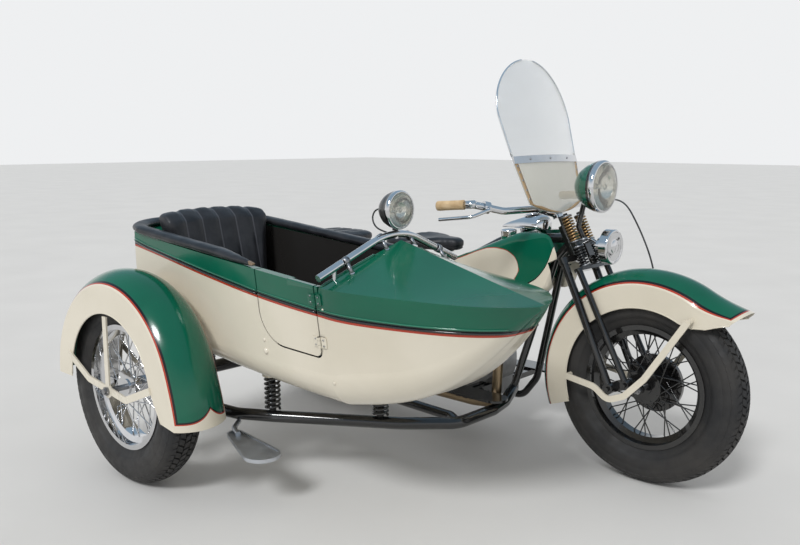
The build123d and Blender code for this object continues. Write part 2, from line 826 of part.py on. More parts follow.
# Fuel tanks: a half on each side of the backbone, crowned outside, with room for the fork to swing
tank_half_width = 112
tank_gap = 18.3
tank_points = [
    # x, z, corner radius
    (655, 696, 22),
    (850, 772, 300),
    (1020, 842, 200),
    (1160, 846, 36),
    (1194, 764, 60),
    (1150, 630, 40),
    (1000, 622, 200),
    (800, 662, 200),
]
tank_bends = [bend for x, z, bend in tank_points]
fork_sweep_radius = fork_leg_y + fork_leg_radius + 5 + 5
spring_sweep_radius = 96
tank_edge_round = 34
tube_bay_half_width = 62
cap_radius = 27
cap_x = 955
cap_y = 62
cap_top_z = 842
tank_halves = []
for side in (1, -1):
    with BuildPart() as tank:
        with BuildSketch(Plane.XZ):
            with BuildLine():
                FilletPolyline(*[(x, z) for x, z, bend in tank_points], radius=tank_bends, close=True)
            make_face()
        extrude(amount=-side * tank_half_width)
        outer_face = tank.faces().sort_by(Axis.Y)[-1 if side > 0 else 0]
        fillet(outer_face.edges(), tank_edge_round)
        with BuildSketch(Plane.XY.offset(500)):
            with BuildLine():
                inner = side * tank_gap
                outer = side * (tank_half_width + 1)
                Polyline((650, outer * 0.56), (650, inner), (1200, inner), (1200, outer * 0.86))
                ThreePointArc((1200, outer * 0.86), (1020, outer), (650, outer * 0.56))
            make_face()
        extrude(amount=500, mode=Mode.INTERSECT)
        with BuildSketch(Plane(origin=on_fork(0, 0, 600), x_dir=steer.x_dir, z_dir=steer.z_dir)):
            Circle(fork_sweep_radius)
        extrude(amount=crown_up + crown_thickness / 2 + 6 - 600, mode=Mode.SUBTRACT)
        with BuildSketch(Plane(origin=on_fork(0, 0, crown_up), x_dir=steer.x_dir, z_dir=steer.z_dir)):
            Circle(spring_sweep_radius)
        extrude(amount=300, mode=Mode.SUBTRACT)
        with BuildSketch(Plane.XY.offset(600)):
            with Locations((1150, 0)):
                Rectangle(130, 2 * tube_bay_half_width)
        extrude(amount=165, mode=Mode.SUBTRACT)
        with BuildSketch(Plane.XY.offset(800)):
            with Locations((cap_x, side * cap_y)):
                Circle(cap_radius)
        extrude(amount=cap_top_z - 800)
    tank_halves.append(tank.part)
with BuildPart() as fuel_tanks:
    add(tank_halves)
hand_over(fuel_tanks, "fuel_tanks")

# Instrument panel: a teardrop housing over the gap between the tank halves
panel_half_width = 50
panel_low_z = 844.5
with BuildPart() as panel:
    with BuildSketch(Plane.XY.offset(panel_low_z)):
        with BuildLine():
            Line((880, 0), (880, 14))
            ThreePointArc((880, 14), (985, 42), (1040, panel_half_width))
            ThreePointArc((1040, panel_half_width), (1078, 36), (1094, 0))
            mirror(about=Plane.XZ)
        make_face()
    extrude(amount=60)
    with BuildSketch(Plane.XZ.offset(-80)):
        with BuildLine():
            FilletPolyline(
                (870, 840),
                (870, 858),
                (990, 900),
                (1064, 904),
                (1100, 866),
                (1100, 840),
                radius=[0, 12, 90, 24, 16, 0],
                close=True,
            )
        make_face()
    extrude(amount=160, mode=Mode.INTERSECT)
hand_over(panel, "instrument_panel")

# Saddle: a plain solid of the padded seat, on its spring post
saddle_low_z = 735
saddle_high_z = 786
saddle_rear_x = 372
saddle_nose_x = 686
saddle_half_width = 162
with BuildPart() as saddle:
    with BuildSketch(Plane.XY.offset(saddle_low_z)):
        with BuildLine():
            FilletPolyline(
                (saddle_nose_x, 38),
                (600, 56),
                (500, saddle_half_width - 12),
                (saddle_rear_x, saddle_half_width),
                (saddle_rear_x, -saddle_half_width),
                (500, -saddle_half_width + 12),
                (600, -56),
                (saddle_nose_x, -38),
                radius=[34, 60, 60, 64, 64, 60, 60, 34],
                close=True,
            )
        make_face()
    extrude(amount=saddle_high_z - saddle_low_z)
    fillet(saddle.faces().sort_by(Axis.Z)[-1].edges(), 16)
hand_over(saddle, "saddle")

post_radius = 15
post_x = 540
saddle_plate_z = saddle_low_z - seat_gap
with BuildPart() as saddle_post:
    with BuildSketch(Plane.XY.offset(saddle_plate_z - 8)):
        with Locations((post_x - 20, 0)):
            SlotCenterToCenter(190, 44)
    extrude(amount=8)
    with BuildSketch(Plane.XY.offset(saddle_socket_z + seat_gap)):
        with Locations((seat_tube_top[0], 0)):
            Circle(post_radius)
    extrude(amount=saddle_plate_z - saddle_socket_z - seat_gap - 4)
hand_over(saddle_post, "saddle_post")

# Rear fender, pillion pad and luggage rack
rear_fender_crown = 384
rear_fender_edge = 348
rear_skirt_inner = 288
rear_fender = fender(
    rear_axle, rear_fender_half_width, rear_fender_edge, rear_fender_crown, rear_skirt_inner, 20, 196
)
hand_over(rear_fender, "rear_fender")

pad_low_z = tyre_radius + rear_fender_crown + seat_gap
pad_height = 46
with BuildPart() as pillion_pad:
    with BuildSketch(Plane.XY.offset(pad_low_z)):
        with Locations((-20, 0)):
            RectangleRounded(290, 210, 50)
    extrude(amount=pad_height)
    fillet(pillion_pad.faces().sort_by(Axis.Z)[-1].edges(), 18)
hand_over(pillion_pad, "pillion_pad")

rack_z = 742
rack_tube = 6
rack_front_x = -172
rack_rear_x = -352
rack_half_width = 95
rack_corner = [
    (rack_front_x, rack_half_width, rack_z),
    (rack_rear_x, rack_half_width, rack_z),
    (rack_rear_x, -rack_half_width, rack_z),
    (rack_front_x, -rack_half_width, rack_z),
]
rack_parts = [tube(rack_corner, 30, rack_tube), rod(rack_corner[0], rack_corner[3], rack_tube - 1)]
for y in (-60, -20, 20, 60):
    rack_parts.append(rod((rack_front_x, y, rack_z), (rack_rear_x, y, rack_z), rack_tube - 2))
for side in (1, -1):
    rack_parts.append(
        tube(
            [
                (rack_rear_x + 40, side * rack_half_width, rack_z),
                (rack_rear_x + 60, side * (rear_fender_half_width + rack_tube - 1 + seat_gap), 600),
                (-110, side * (rear_fender_half_width + rack_tube - 1 + seat_gap), 480),
            ],
            60,
            rack_tube - 1,
        )
    )
with BuildPart() as rack:
    add(rack_parts)
hand_over(rack, "luggage_rack")

# Oil tank behind the seat tube, footboards, tail lamp and side stand
with BuildPart() as oil_tank:
    with BuildSketch(Plane.XY.offset(425)):
        with Locations((seat_tube_top[0] - frame_tube - 2 - seat_gap - 72, 0)):
            RectangleRounded(144, 160, 34)
    extrude(amount=105)
hand_over(oil_tank, "oil_tank")

footboard_x = 930
footboard_z = 240
footboard_length = 300
footboard_y = 240
footboard_width = 100
footboard_thickness = 8
arm_width = 20
arm_low_z = 218
arm_places = (862, 895)
footboards = []
for side in (1, -1):
    with BuildPart() as footboard:
        with BuildSketch(Plane.XY.offset(footboard_z)):
            with Locations((footboard_x, side * footboard_y)):
                SlotOverall(footboard_length, footboard_width)
        extrude(amount=footboard_thickness)
        with BuildSketch(Plane.XY.offset(arm_low_z)):
            for x in arm_places:
                with Locations((x, side * (footboard_y + rail_y) / 2)):
                    Rectangle(arm_width, footboard_y - rail_y)
        extrude(amount=footboard_z - arm_low_z)
        with BuildSketch(Plane.XY.offset(rail_z + frame_tube + seat_gap)):
            for x in arm_places:
                with Locations((x, side * (rail_y + arm_width / 2))):
                    Rectangle(arm_width, arm_width)
        extrude(amount=footboard_z - rail_z - frame_tube - seat_gap)
    footboards.append(footboard.part)
with BuildPart() as both_footboards:
    add(footboards)
hand_over(both_footboards, "footboards")

tail_lamp_angle = 153
tail_lamp_radius = 30
lamp_way = polar(1, tail_lamp_angle, 0)
with BuildPart() as tail_lamp:
    with BuildSketch(Plane(origin=rear_axle + lamp_way * (rear_fender_crown + seat_gap), z_dir=lamp_way)):
        Circle(tail_lamp_radius)
    extrude(amount=50)
hand_over(tail_lamp, "tail_lamp")

stand_length = 165
side_stand_run = tube(
    [stand_pivot, stand_pivot + Vector(-130, 8, 0), stand_pivot + Vector(-stand_length, 16, -4)],
    30,
    stand_radius,
)
stand_reach = Vector(0, stand_eye_half, 0)
with BuildPart() as side_stand:
    add(side_stand_run)
    add(rod(stand_pivot - stand_reach, stand_pivot + stand_reach, stand_eye_radius))
    add(
        rod(stand_pivot - 2 * stand_reach, stand_pivot + 2 * stand_reach, stand_pin_radius + pin_clearance),
        mode=Mode.SUBTRACT,
    )
hand_over(side_stand, "side_stand")

# Windshield: one curved clear sheet leaning back, with a metal band across it
shield_foot = Vector(1150, 0, 897)
shield_lean = 16.8
shield_bend_radius = 1300
shield_sheet = 5
shield_half_width = 228
shield_top = 594
widest_height = 385
band_height = 222
band_half_width = 206
band_width = 26
band_sheet = 3
corner_half_width = 172
corner_height = 62
shield_plane = Plane(
    origin=shield_foot,
    x_dir=(0, 1, 0),
    z_dir=(math.cos(math.radians(shield_lean)), 0, math.sin(math.radians(shield_lean))),
)
up_line = Vector(-math.sin(math.radians(shield_lean)), 0, math.cos(math.radians(shield_lean)))
bend_centre = shield_foot - shield_plane.z_dir * shield_bend_radius
bend_plane = Plane(
    origin=bend_centre - up_line * 50,
    x_dir=(0, 1, 0),
    z_dir=up_line,
)

# Handlebar with grips and levers
bar_radius = 12.7
stem_top_up = crown_up - crown_thickness / 2 + head_top_up + 45 - crown_up
bar_clamp = on_fork(-16, 0, stem_top_up + bar_radius + seat_gap + 3)
bar_end = (894, 400, 948)
grip_front = (1022, 372, 958)
grip_radius = 17
grip_start = 30
handle_runs = []
for side in (1, -1):
    handle_runs.append(
        tube(
            [
                bar_clamp,
                (bar_clamp.X - 16, side * 110, bar_clamp.Z + 26),
                (1078, side * 270, bar_clamp.Z + 26),
                (grip_front[0], side * grip_front[1], grip_front[2]),
                (bar_end[0], side * bar_end[1], bar_end[2]),
            ],
            [50, 60, 50],
            bar_radius,
        )
    )
clamp_base = on_fork(-2, 0, stem_top_up + seat_gap)
clamp_y = 100
clamp_height = 38
shield_clamps = []
for side in (1, -1):
    bend_sine = side * clamp_y / shield_bend_radius
    outward = shield_plane.z_dir * math.sqrt(1 - bend_sine**2) + Vector(0, bend_sine, 0)
    touch = bend_centre + outward * (shield_bend_radius - shield_sheet - seat_gap) + up_line * clamp_height
    shield_clamps.append(rod(touch - outward * 24, touch, 7))
with BuildPart() as handlebar:
    add([*handle_runs, *shield_clamps])
    with BuildSketch(Plane(origin=clamp_base, x_dir=steer.x_dir, z_dir=steer.z_dir)):
        with Locations((-10, 0)):
            RectangleRounded(26, 40, 6)
    extrude(amount=20)
hand_over(handlebar, "handlebar")

# Grips closed at the end of the bar, and levers on clamps between the bar's two bends
perch_place = (1046, 328, 946.8)
perch_half = 11
perch_radius = 21
lever_points = [(1074, 341, 941), (1040, 398, 918), (930, 440, 905)]
grips = []
levers = []
for side in (1, -1):
    front = Vector(grip_front[0], side * grip_front[1], grip_front[2])
    end = Vector(bar_end[0], side * bar_end[1], bar_end[2])
    along = (end - front).normalized()
    with BuildPart() as grip:
        add(rod(front + along * grip_start, end + along * 5, grip_radius))
        add(rod(front, end + along * seat_gap, bar_radius + seat_gap), mode=Mode.SUBTRACT)
    grips.append(grip.part)
    bar_bend = Vector(1078, side * 270, bar_clamp.Z + 26)
    slope = (front - bar_bend).normalized()
    near_perch = Vector(perch_place[0], side * perch_place[1], perch_place[2])
    perch = bar_bend + slope * (near_perch - bar_bend).dot(slope)
    blade = [Vector(x, side * y, z) for x, y, z in lever_points]
    with BuildPart() as lever:
        add(rod(perch - slope * perch_half, perch + slope * perch_half, perch_radius))
        add(rod(perch, blade[0], 8))
        add(tube(blade, 40, 6))
        add(rod(perch - slope * 60, perch + slope * 60, bar_radius + seat_gap), mode=Mode.SUBTRACT)
    levers.append(lever.part)
with BuildPart() as both_grips:
    add(grips)
hand_over(both_grips, "handlebar_grips")

# Front brake cable: held at the left lever and at a socket on the left spring leg
cable_radius = 3
cable_ferrule = rod(lever_points[0], (1092, 333, 942), 6)
with BuildPart() as both_levers:
    add(levers)
    add(cable_ferrule)
hand_over(both_levers, "handlebar_levers")
cable_way = Vector(18, -8, 1).normalized()
cable_start = Vector(1092, 333, 942) + cable_way * seat_gap
cable_points = [
    cable_start,
    (1160, 303, 948),
    (1232, 258, 952),
    (1296, 203, 936),
    (1352, 153, 897),
    (1402, 124, 838),
    (1440, 117, 764),
    (1462, 117, 684),
    (1468, 118, 602),
    (1458, 118, 522),
    (cable_socket_top.X, cable_socket_top.Y, cable_socket_top.Z),
]
cable_run = cord(cable_points, cable_radius)
with BuildPart() as brake_cable:
    add(cable_run)
hand_over(brake_cable, "front_brake_cable")

# Head lamp: a deep bucket with its rim, looking straight ahead, on a post from the spring bracket
lamp_centre = Vector(1318, 0, 1014)
lamp_radius = 92
lamp_depth = 118
lamp_glass_bulge = 10
lamp_post_forward = 50
lamp_post_radius = 10
post_up = bracket_up + bracket_thickness / 2 + seat_gap
lamp_post = tube(
    [
        on_fork(lamp_post_forward, 0, post_up),
        on_fork(lamp_post_forward, 0, post_up + 60),
        lamp_centre - Vector(50, 0, 30),
    ],
    40,
    lamp_post_radius,
)
with BuildPart() as head_lamp:
    with BuildSketch(Plane.XZ):
        with BuildLine():
            nose = (lamp_centre.X + lamp_glass_bulge, lamp_centre.Z)
            rim_front = (lamp_centre.X - 6, lamp_centre.Z + lamp_radius)
            rim_back = (lamp_centre.X - 22, lamp_centre.Z + lamp_radius)
            tail = (lamp_centre.X - lamp_depth, lamp_centre.Z)
            ThreePointArc(nose, (lamp_centre.X + 6, lamp_centre.Z + 55), rim_front)
            Line(rim_front, rim_back)
            ThreePointArc(rim_back, (lamp_centre.X - 88, lamp_centre.Z + 62), tail)
            Line(tail, nose)
        make_face()
    revolve(axis=Axis(origin=lamp_centre, direction=(1, 0, 0)))
    add(lamp_post)
hand_over(head_lamp, "head_lamp")

horn_centre = Vector(1356, 0, 806)
horn_radius = 62
horn_arm = tube(
    [
        on_fork(rod_forward + 17 + seat_gap, 0, bracket_up),
        on_fork(82, 0, bracket_up),
        horn_centre - Vector(44, 0, 0),
    ],
    12,
    5.5,
)
with BuildPart() as horn:
    add(horn_arm)
    with BuildSketch(Plane(origin=horn_centre, x_dir=(0, 1, 0), z_dir=(-1, 0, 0))):
        Circle(horn_radius)
    extrude(amount=26)
    with BuildSketch(Plane(origin=horn_centre, x_dir=(0, 1, 0), z_dir=(-1, 0, 0))):
        Circle(30)
    extrude(amount=54)
hand_over(horn, "horn")

with BuildPart() as windshield:
    with BuildSketch(shield_plane):
        with BuildLine():
            EllipticalCenterArc(
                (0, widest_height), shield_half_width, shield_top - widest_height, start_angle=0, arc_size=180
            )
            Polyline(
                (-shield_half_width, widest_height),
                (-band_half_width, band_height),
                (-corner_half_width, corner_height),
            )
            ThreePointArc((-corner_half_width, corner_height), (0, 20), (corner_half_width, corner_height))
            Polyline(
                (corner_half_width, corner_height),
                (band_half_width, band_height),
                (shield_half_width, widest_height),
            )
        make_face()
    extrude(amount=60, both=True)
    with BuildSketch(bend_plane):
        Circle(shield_bend_radius)
        Circle(shield_bend_radius - shield_sheet, mode=Mode.SUBTRACT)
    extrude(amount=700, mode=Mode.INTERSECT)
hand_over(windshield, "windshield")

with BuildPart() as shield_band:
    with BuildSketch(shield_plane):
        with Locations((0, band_height)):
            Rectangle(2 * band_half_width, band_width)
    extrude(amount=60, both=True)
    with BuildSketch(bend_plane):
        Circle(shield_bend_radius + band_sheet + seat_gap)
        Circle(shield_bend_radius + seat_gap, mode=Mode.SUBTRACT)
    extrude(amount=700, mode=Mode.INTERSECT)
hand_over(shield_band, "windshield_band")

# Sidecar hull: sections of straight lines and a bilge arc, lofted from tail to nose.
# The tub behind the cowl is open above; the cowl ahead of it has a tent-shaped deck.
sidecar_y = -797
wall = 20
tail_x = -72
tail_top_z = 855
rim_slope = 0.0818
cowl_start_x = 1040


def rim_z(x):
    return tail_top_z - rim_slope * (x - tail_x)


# columns: x, top half width, top z, ridge z, side foot half width, side foot z, flat half width, keel z
tub_rows = [
    (tail_x, 268, rim_z(tail_x), rim_z(tail_x), 246, 590, 185, 480),
    (350, 291, rim_z(350), rim_z(350), 262, 530, 190, 440),
    (740, 294, rim_z(740), rim_z(740), 262, 508, 188, 410),
    (cowl_start_x, 291, rim_z(cowl_start_x), rim_z(cowl_start_x), 250, 500, 168, 392),
]
cowl_rows = [
    (cowl_start_x, 291, rim_z(cowl_start_x), 889, 250, 500, 168, 392),
    (1240, 266, 760, 838, 206, 540, 104, 434),
    (1420, 204, 755, 791, 140, 612, 52, 546),
    (1540, 118, 750, 761, 74, 700, 22, 672),
    (1594, 22, 745, 748, 15, 737, 6, 733),
]


def hull_section(row, inset, lift):
    """Closed cross section; inset moves the sides and floor in, lift raises the top."""
    x, top_w, top_z, ridge_z, foot_w, foot_z, flat_w, keel_z = row
    floor_z = keel_z + inset
    side_z = foot_z + inset * 0.6
    bend_w = (flat_w + foot_w) / 2 + (foot_w - flat_w) * 0.16 - inset
    bend_z = (floor_z + side_z) / 2 - (side_z - floor_z) * 0.16
    with BuildSketch(Plane(origin=(x, sidecar_y, 0), x_dir=(0, 1, 0), z_dir=(1, 0, 0))) as section:
        with BuildLine():
            Line((0, floor_z), (flat_w - inset, floor_z + 3))
            ThreePointArc((flat_w - inset, floor_z + 3), (bend_w, bend_z), (foot_w - inset, side_z))
            Line((foot_w - inset, side_z), (top_w - inset, top_z + lift))
            Line((top_w - inset, top_z + lift), (0, ridge_z + lift))
            mirror(about=Plane.YZ)
        make_face()
    return section.sketch


def plan_outline(x_rear, x_front, half_width, corner):
    with BuildSketch(Plane(origin=(0, sidecar_y, 300))) as outline:
        with BuildLine():
            FilletPolyline(
                (x_front, half_width),
                (x_rear, half_width),
                (x_rear, -half_width),
                (x_front, -half_width),
                radius=corner,
            )
            Line((x_front, -half_width), (x_front, half_width))
        make_face()
    return outline.sketch


tail_corner = 190
tub_half_width = 300

with BuildPart() as hull_outer:
    loft([hull_section(row, 0, 0) for row in tub_rows])
    extrude(plan_outline(tail_x, 1300, tub_half_width, tail_corner), amount=700, mode=Mode.INTERSECT)
with BuildPart() as cowl_outer:
    loft([hull_section(row, 0, 0) for row in cowl_rows])
with BuildPart() as tub_inner:
    loft([hull_section(row, wall, 0) for row in tub_rows])
    extrude(
        plan_outline(tail_x + wall, 1300, tub_half_width, tail_corner - wall), amount=700, mode=Mode.INTERSECT
    )
with BuildPart() as tub_mouth:
    loft([hull_section(row, wall, 120) for row in tub_rows])
    extrude(
        plan_outline(tail_x + wall, 1300, tub_half_width, tail_corner - wall), amount=900, mode=Mode.INTERSECT
    )
with BuildPart() as cowl_inner:
    loft([hull_section(row, wall, -wall) for row in cowl_rows[:3]])

# Door in the right side, hinged at its front edge about an axis that leans with the side
door_gap = 5
door_front_x = 1010
door_rear_x = 750
door_low_z = 552
door_corner = 105
hinge_x = 1016
hinge_stand_off = 8
hinge_radius = 6
hinge_length = 34
hinge_heights = (600, 728)
side_slope = (tub_rows[3][1] - tub_rows[3][4]) / (tub_rows[3][2] - tub_rows[3][5])
side_lean = math.degrees(math.atan(side_slope))


def hull_side_y(z):
    return sidecar_y - (tub_rows[3][4] + (z - tub_rows[3][5]) * side_slope)


def door_prism(grow):
    with BuildPart() as prism:
        with BuildSketch(Plane.XZ.offset(-sidecar_y + 150)):
            with BuildLine():
                FilletPolyline(
                    (door_front_x + grow, 900),
                    (door_front_x + grow, door_low_z - grow),
                    (door_rear_x - grow, door_low_z - grow + 12),
                    (door_rear_x - grow, 900),
                    radius=[22, door_corner + grow],
                )
                Line((door_rear_x - grow, 900), (door_front_x + grow, 900))
            make_face()
        extrude(amount=200)
    return prism.part


deck_front_x = 70
cowl_cut_foot = (1026, 740)
cowl_cut_top = (1092, 900)
with BuildPart() as cockpit:
    add(tub_mouth.part)
    with BuildSketch(Plane.XZ.offset(-sidecar_y - 400)):
        with BuildLine():
            Polyline(
                (deck_front_x, 300),
                (deck_front_x, 1100),
                (cowl_cut_top[0] + 90, 1100),
                cowl_cut_top,
                cowl_cut_foot,
                (cowl_cut_foot[0], 300),
                close=True,
            )
        make_face()
    extrude(amount=800, mode=Mode.INTERSECT)
with BuildPart() as cowl_throat:
    extrude(hull_section(cowl_rows[0], wall, -wall), amount=-20)
with BuildPart() as tail_hollow:
    add(tub_inner.part)
    with BuildSketch(Plane.XZ.offset(-sidecar_y - 400)):
        with BuildLine():
            Polyline(
                (tail_x, 300),
                (tail_x, rim_z(tail_x) - wall),
                (deck_front_x + 10, rim_z(deck_front_x) - wall),
                (deck_front_x + 10, 300),
                close=True,
            )
        make_face()
    extrude(amount=800, mode=Mode.INTERSECT)
with BuildPart() as cowl_mouth:
    with BuildSketch(Plane.XZ.offset(-sidecar_y - 400)):
        with BuildLine():
            Polyline(
                (900, rim_z(1040) - 1),
                (cowl_cut_foot[0] + 1, rim_z(1040) - 1),
                cowl_cut_foot,
                cowl_cut_top,
                (cowl_cut_top[0], 1100),
                (900, 1100),
                close=True,
            )
        make_face()
    extrude(amount=800)
with BuildPart() as shell:
    add([hull_outer.part, cowl_outer.part])
    hollows = [cockpit, tail_hollow, cowl_throat, cowl_inner, cowl_mouth]
    add([hollow.part for hollow in hollows], mode=Mode.SUBTRACT)

# Hinge knuckles, drawn square to the hinge line: x forward, y into the body. The hull keeps the two
# end knuckles and the pin, the door the middle one.
knuckle_gap = 0.6
door_knuckle = 14
pin_radius = 3
hinge_direction = Vector(0, -math.sin(math.radians(side_lean)), math.cos(math.radians(side_lean)))
hull_knuckles = []
door_knuckles = []
hinge_bores = []
for height in hinge_heights:
    middle = Vector(hinge_x, hull_side_y(height) - hinge_stand_off, height)
    for low, high, reach, home in (
        (-hinge_length / 2, -door_knuckle / 2 - knuckle_gap, (2, 20), hull_knuckles),
        (door_knuckle / 2 + knuckle_gap, hinge_length / 2, (2, 20), hull_knuckles),
        (-door_knuckle / 2, door_knuckle / 2, (-24, -2), door_knuckles),
    ):
        with BuildPart() as knuckle:
            with BuildSketch(
                Plane(origin=middle + hinge_direction * low, x_dir=(1, 0, 0), z_dir=hinge_direction)
            ):
                Circle(hinge_radius)
                with Locations(((reach[0] + reach[1]) / 2, hinge_stand_off + 1)):
                    Rectangle(reach[1] - reach[0], 10)
                with Locations((math.copysign(4, reach[0]), hinge_stand_off / 2)):
                    Rectangle(4, hinge_stand_off)
            extrude(amount=high - low)
        home.append(knuckle.part)
    pin_reach = hinge_direction * hinge_length / 2
    hull_knuckles.append(rod(middle - pin_reach, middle + pin_reach, pin_radius))
    hinge_bores.append(rod(middle - 2 * pin_reach, middle + 2 * pin_reach, pin_radius + pin_clearance))

# Seat box and the pads under the floor that stand on the springs
cushion_low_z = 500
seat_box_front_x = 630
seat_box_rear_x = 200
seat_box_half_width = 170
spring_pad_radius = 34
# columns: x, y from the sidecar's centre line, pad bottom z, pad top z
spring_pads = [
    (205, 105, 426, 474),
    (205, -105, 426, 474),
    (560, -88, 376, 448),
    (880, 117, 366, 424),
]
pad_parts = [
    rod((x, sidecar_y + across, low), (x, sidecar_y + across, high), spring_pad_radius)
    for x, across, low, high in spring_pads
]
with BuildPart() as hull:
    add(shell.part)
    add(door_prism(door_gap), mode=Mode.SUBTRACT)
    add(hull_knuckles)
    add(pad_parts)
    with BuildSketch(Plane.XY.offset(440)):
        with Locations(((seat_box_front_x + seat_box_rear_x) / 2, sidecar_y)):
            Rectangle(seat_box_front_x - seat_box_rear_x, 2 * seat_box_half_width)
    extrude(amount=cushion_low_z - seat_gap - 440)
with BuildPart() as door:
    add(shell.part)
    add(door_prism(0), mode=Mode.INTERSECT)
    add(door_knuckles)
    add(hinge_bores, mode=Mode.SUBTRACT)
hand_over(hull, "sidecar_hull")
hand_over(door, "sidecar_door")

# Seat cushion on its box, and the back that stands behind it and leans over the tail deck
cushion_rear_x = 236
cushion_front_x = 640
cushion_width = 410
cushion_height = 110
cushion_top_z = cushion_low_z + cushion_height
with BuildPart() as seat_cushion:
    with BuildSketch(Plane.XY.offset(cushion_low_z)):
        with Locations(((cushion_rear_x + cushion_front_x) / 2, sidecar_y)):
            RectangleRounded(cushion_front_x - cushion_rear_x, cushion_width, 30)
    extrude(amount=cushion_height)
    fillet(seat_cushion.faces().sort_by(Axis.Z)[-1].edges(), 24)
hand_over(seat_cushion, "sidecar_seat_cushion")

seat_back_half_width = 228
with BuildPart() as seat_back:
    with BuildSketch(Plane.XZ.offset(-sidecar_y - seat_back_half_width)):
        with BuildLine():
            FilletPolyline(
                (cushion_rear_x - seat_gap, cushion_top_z),
                (160, 905),
                (128, 934),
                (66, 934),
                (56, 905),
                (62, 878),
                (78, 860),
                (80, 838),
                (112, cushion_top_z),
                radius=[1, 14, 20, 20, 8, 8, 4, 20, 14],
                close=True,
            )
        make_face()
    extrude(amount=2 * seat_back_half_width)
    fillet(seat_back.faces().sort_by(Axis.Y)[0].edges() + seat_back.faces().sort_by(Axis.Y)[-1].edges(), 3)
    with BuildSketch(Plane.XY.offset(cushion_low_z)):
        with Locations((cushion_rear_x - seat_gap - 16, sidecar_y)):
            Rectangle(32, 2 * seat_box_half_width)
    extrude(amount=cushion_height + 20)
hand_over(seat_back, "sidecar_seat_back")

# Padded coaming round the rim, from the door over the tail to the far side
coaming_width = 64
coaming_height = 32
coaming_middle = 277
coaming_corner = 176
rim_lean = math.atan(rim_slope)
rim_plane = Plane(
    origin=(tail_x, sidecar_y, tail_top_z),
    x_dir=(math.cos(rim_lean), 0, -math.sin(rim_lean)),
    z_dir=(math.sin(rim_lean), 0, math.cos(rim_lean)),
)
door_side_end = 738 - tail_x
far_side_end = 1020 - tail_x
with BuildPart() as coaming:
    with BuildLine(rim_plane.offset(coaming_height / 2 + seat_gap)) as coaming_line:
        FilletPolyline(
            (door_side_end, -coaming_middle),
            (12, -coaming_middle),
            (12, coaming_middle),
            (far_side_end, coaming_middle),
            radius=coaming_corner,
        )
    with BuildSketch(
        Plane(origin=coaming_line.line @ 0, x_dir=rim_plane.y_dir, z_dir=coaming_line.line % 0)
    ):
        RectangleRounded(coaming_width, coaming_height, 12)
    sweep(path=coaming_line.line)
hand_over(coaming, "sidecar_coaming_pad")

# Grab rail over the front edge of the opening, with the spotlight on its middle
rail_radius = 11
rail_points = [
    (1046, sidecar_y - 302, 792),
    (1064, sidecar_y, 916),
    (1046, sidecar_y + 302, 792),
]
rail_line = tube(rail_points, 260, rail_radius)
rail_feet = [
    rod((1052, sidecar_y + across, 770), (1052, sidecar_y + across, 812), 6) for across in (-245, 245)
]
rail_feet.append(rod((1064, sidecar_y, 870), (1064, sidecar_y, 898), 6))
with BuildPart() as grab_rail:
    add([rail_line, *rail_feet])
    add(cowl_outer.part.moved(Location((0, 0, seat_gap))), mode=Mode.SUBTRACT)
hand_over(grab_rail, "sidecar_grab_rail")

spot_centre = Vector(1082, sidecar_y, 968)
spot_radius = 59
spot_depth = 74
rail_top_z = rail_line.bounding_box().max.Z
spot_stalk_x = 1059
with BuildPart() as spotlight:
    with BuildSketch(Plane(origin=spot_centre, x_dir=(1, 0, 0), z_dir=(0, -1, 0))):
        with BuildLine():
            Polyline(
                (6, 0),
                (4, spot_radius / 2),
                (0, spot_radius),
                (-10, spot_radius),
                (-24, 57),
                (-42, 50),
                (-58, 38),
                (-68, 22),
                (-spot_depth, 8),
                (-spot_depth, 0),
                close=True,
            )
        make_face()
    revolve(axis=Axis(spot_centre, (1, 0, 0)))
    with BuildSketch(Plane.XY.offset(rail_top_z + seat_gap)):
        with Locations((spot_stalk_x, sidecar_y)):
            Circle(9)
    extrude(amount=22)
hand_over(spotlight, "sidecar_spotlight")

# Wire of the spotlight: from the back of its bowl in a short loop to the rail
wire_thickness = 5
lamp_back = spot_centre - Vector(spot_depth + seat_gap, 0, 0)
wire_points = [
    lamp_back,
    lamp_back + Vector(-28, 0, 0),
    lamp_back + Vector(-45, -3, -26),
    lamp_back + Vector(-30, -7, -54),
    lamp_back + Vector(2, -9, -67),
    (1049.5, sidecar_y - 9, 895.5),
]
wire_run = cord(wire_points, wire_thickness / 2)
with BuildPart() as spotlight_wire:
    add(wire_run)
hand_over(spotlight_wire, "spotlight_wire")

# Sidecar fender with a flat brace on its outer side and a hanger on its inner side
side_fender_half_width = 97
side_fender_crown = 405
side_fender_edge = 357
side_skirt_inner = 264
side_lip = [(12, 361, 409, 264), (2, 373, 417, 282), (-8, 393, 429, 318)]
side_fender = fender(
    sidecar_axle_point,
    side_fender_half_width,
    side_fender_edge,
    side_fender_crown,
    side_skirt_inner,
    22,
    180,
    side_lip,
)
hand_over(side_fender, "sidecar_fender")

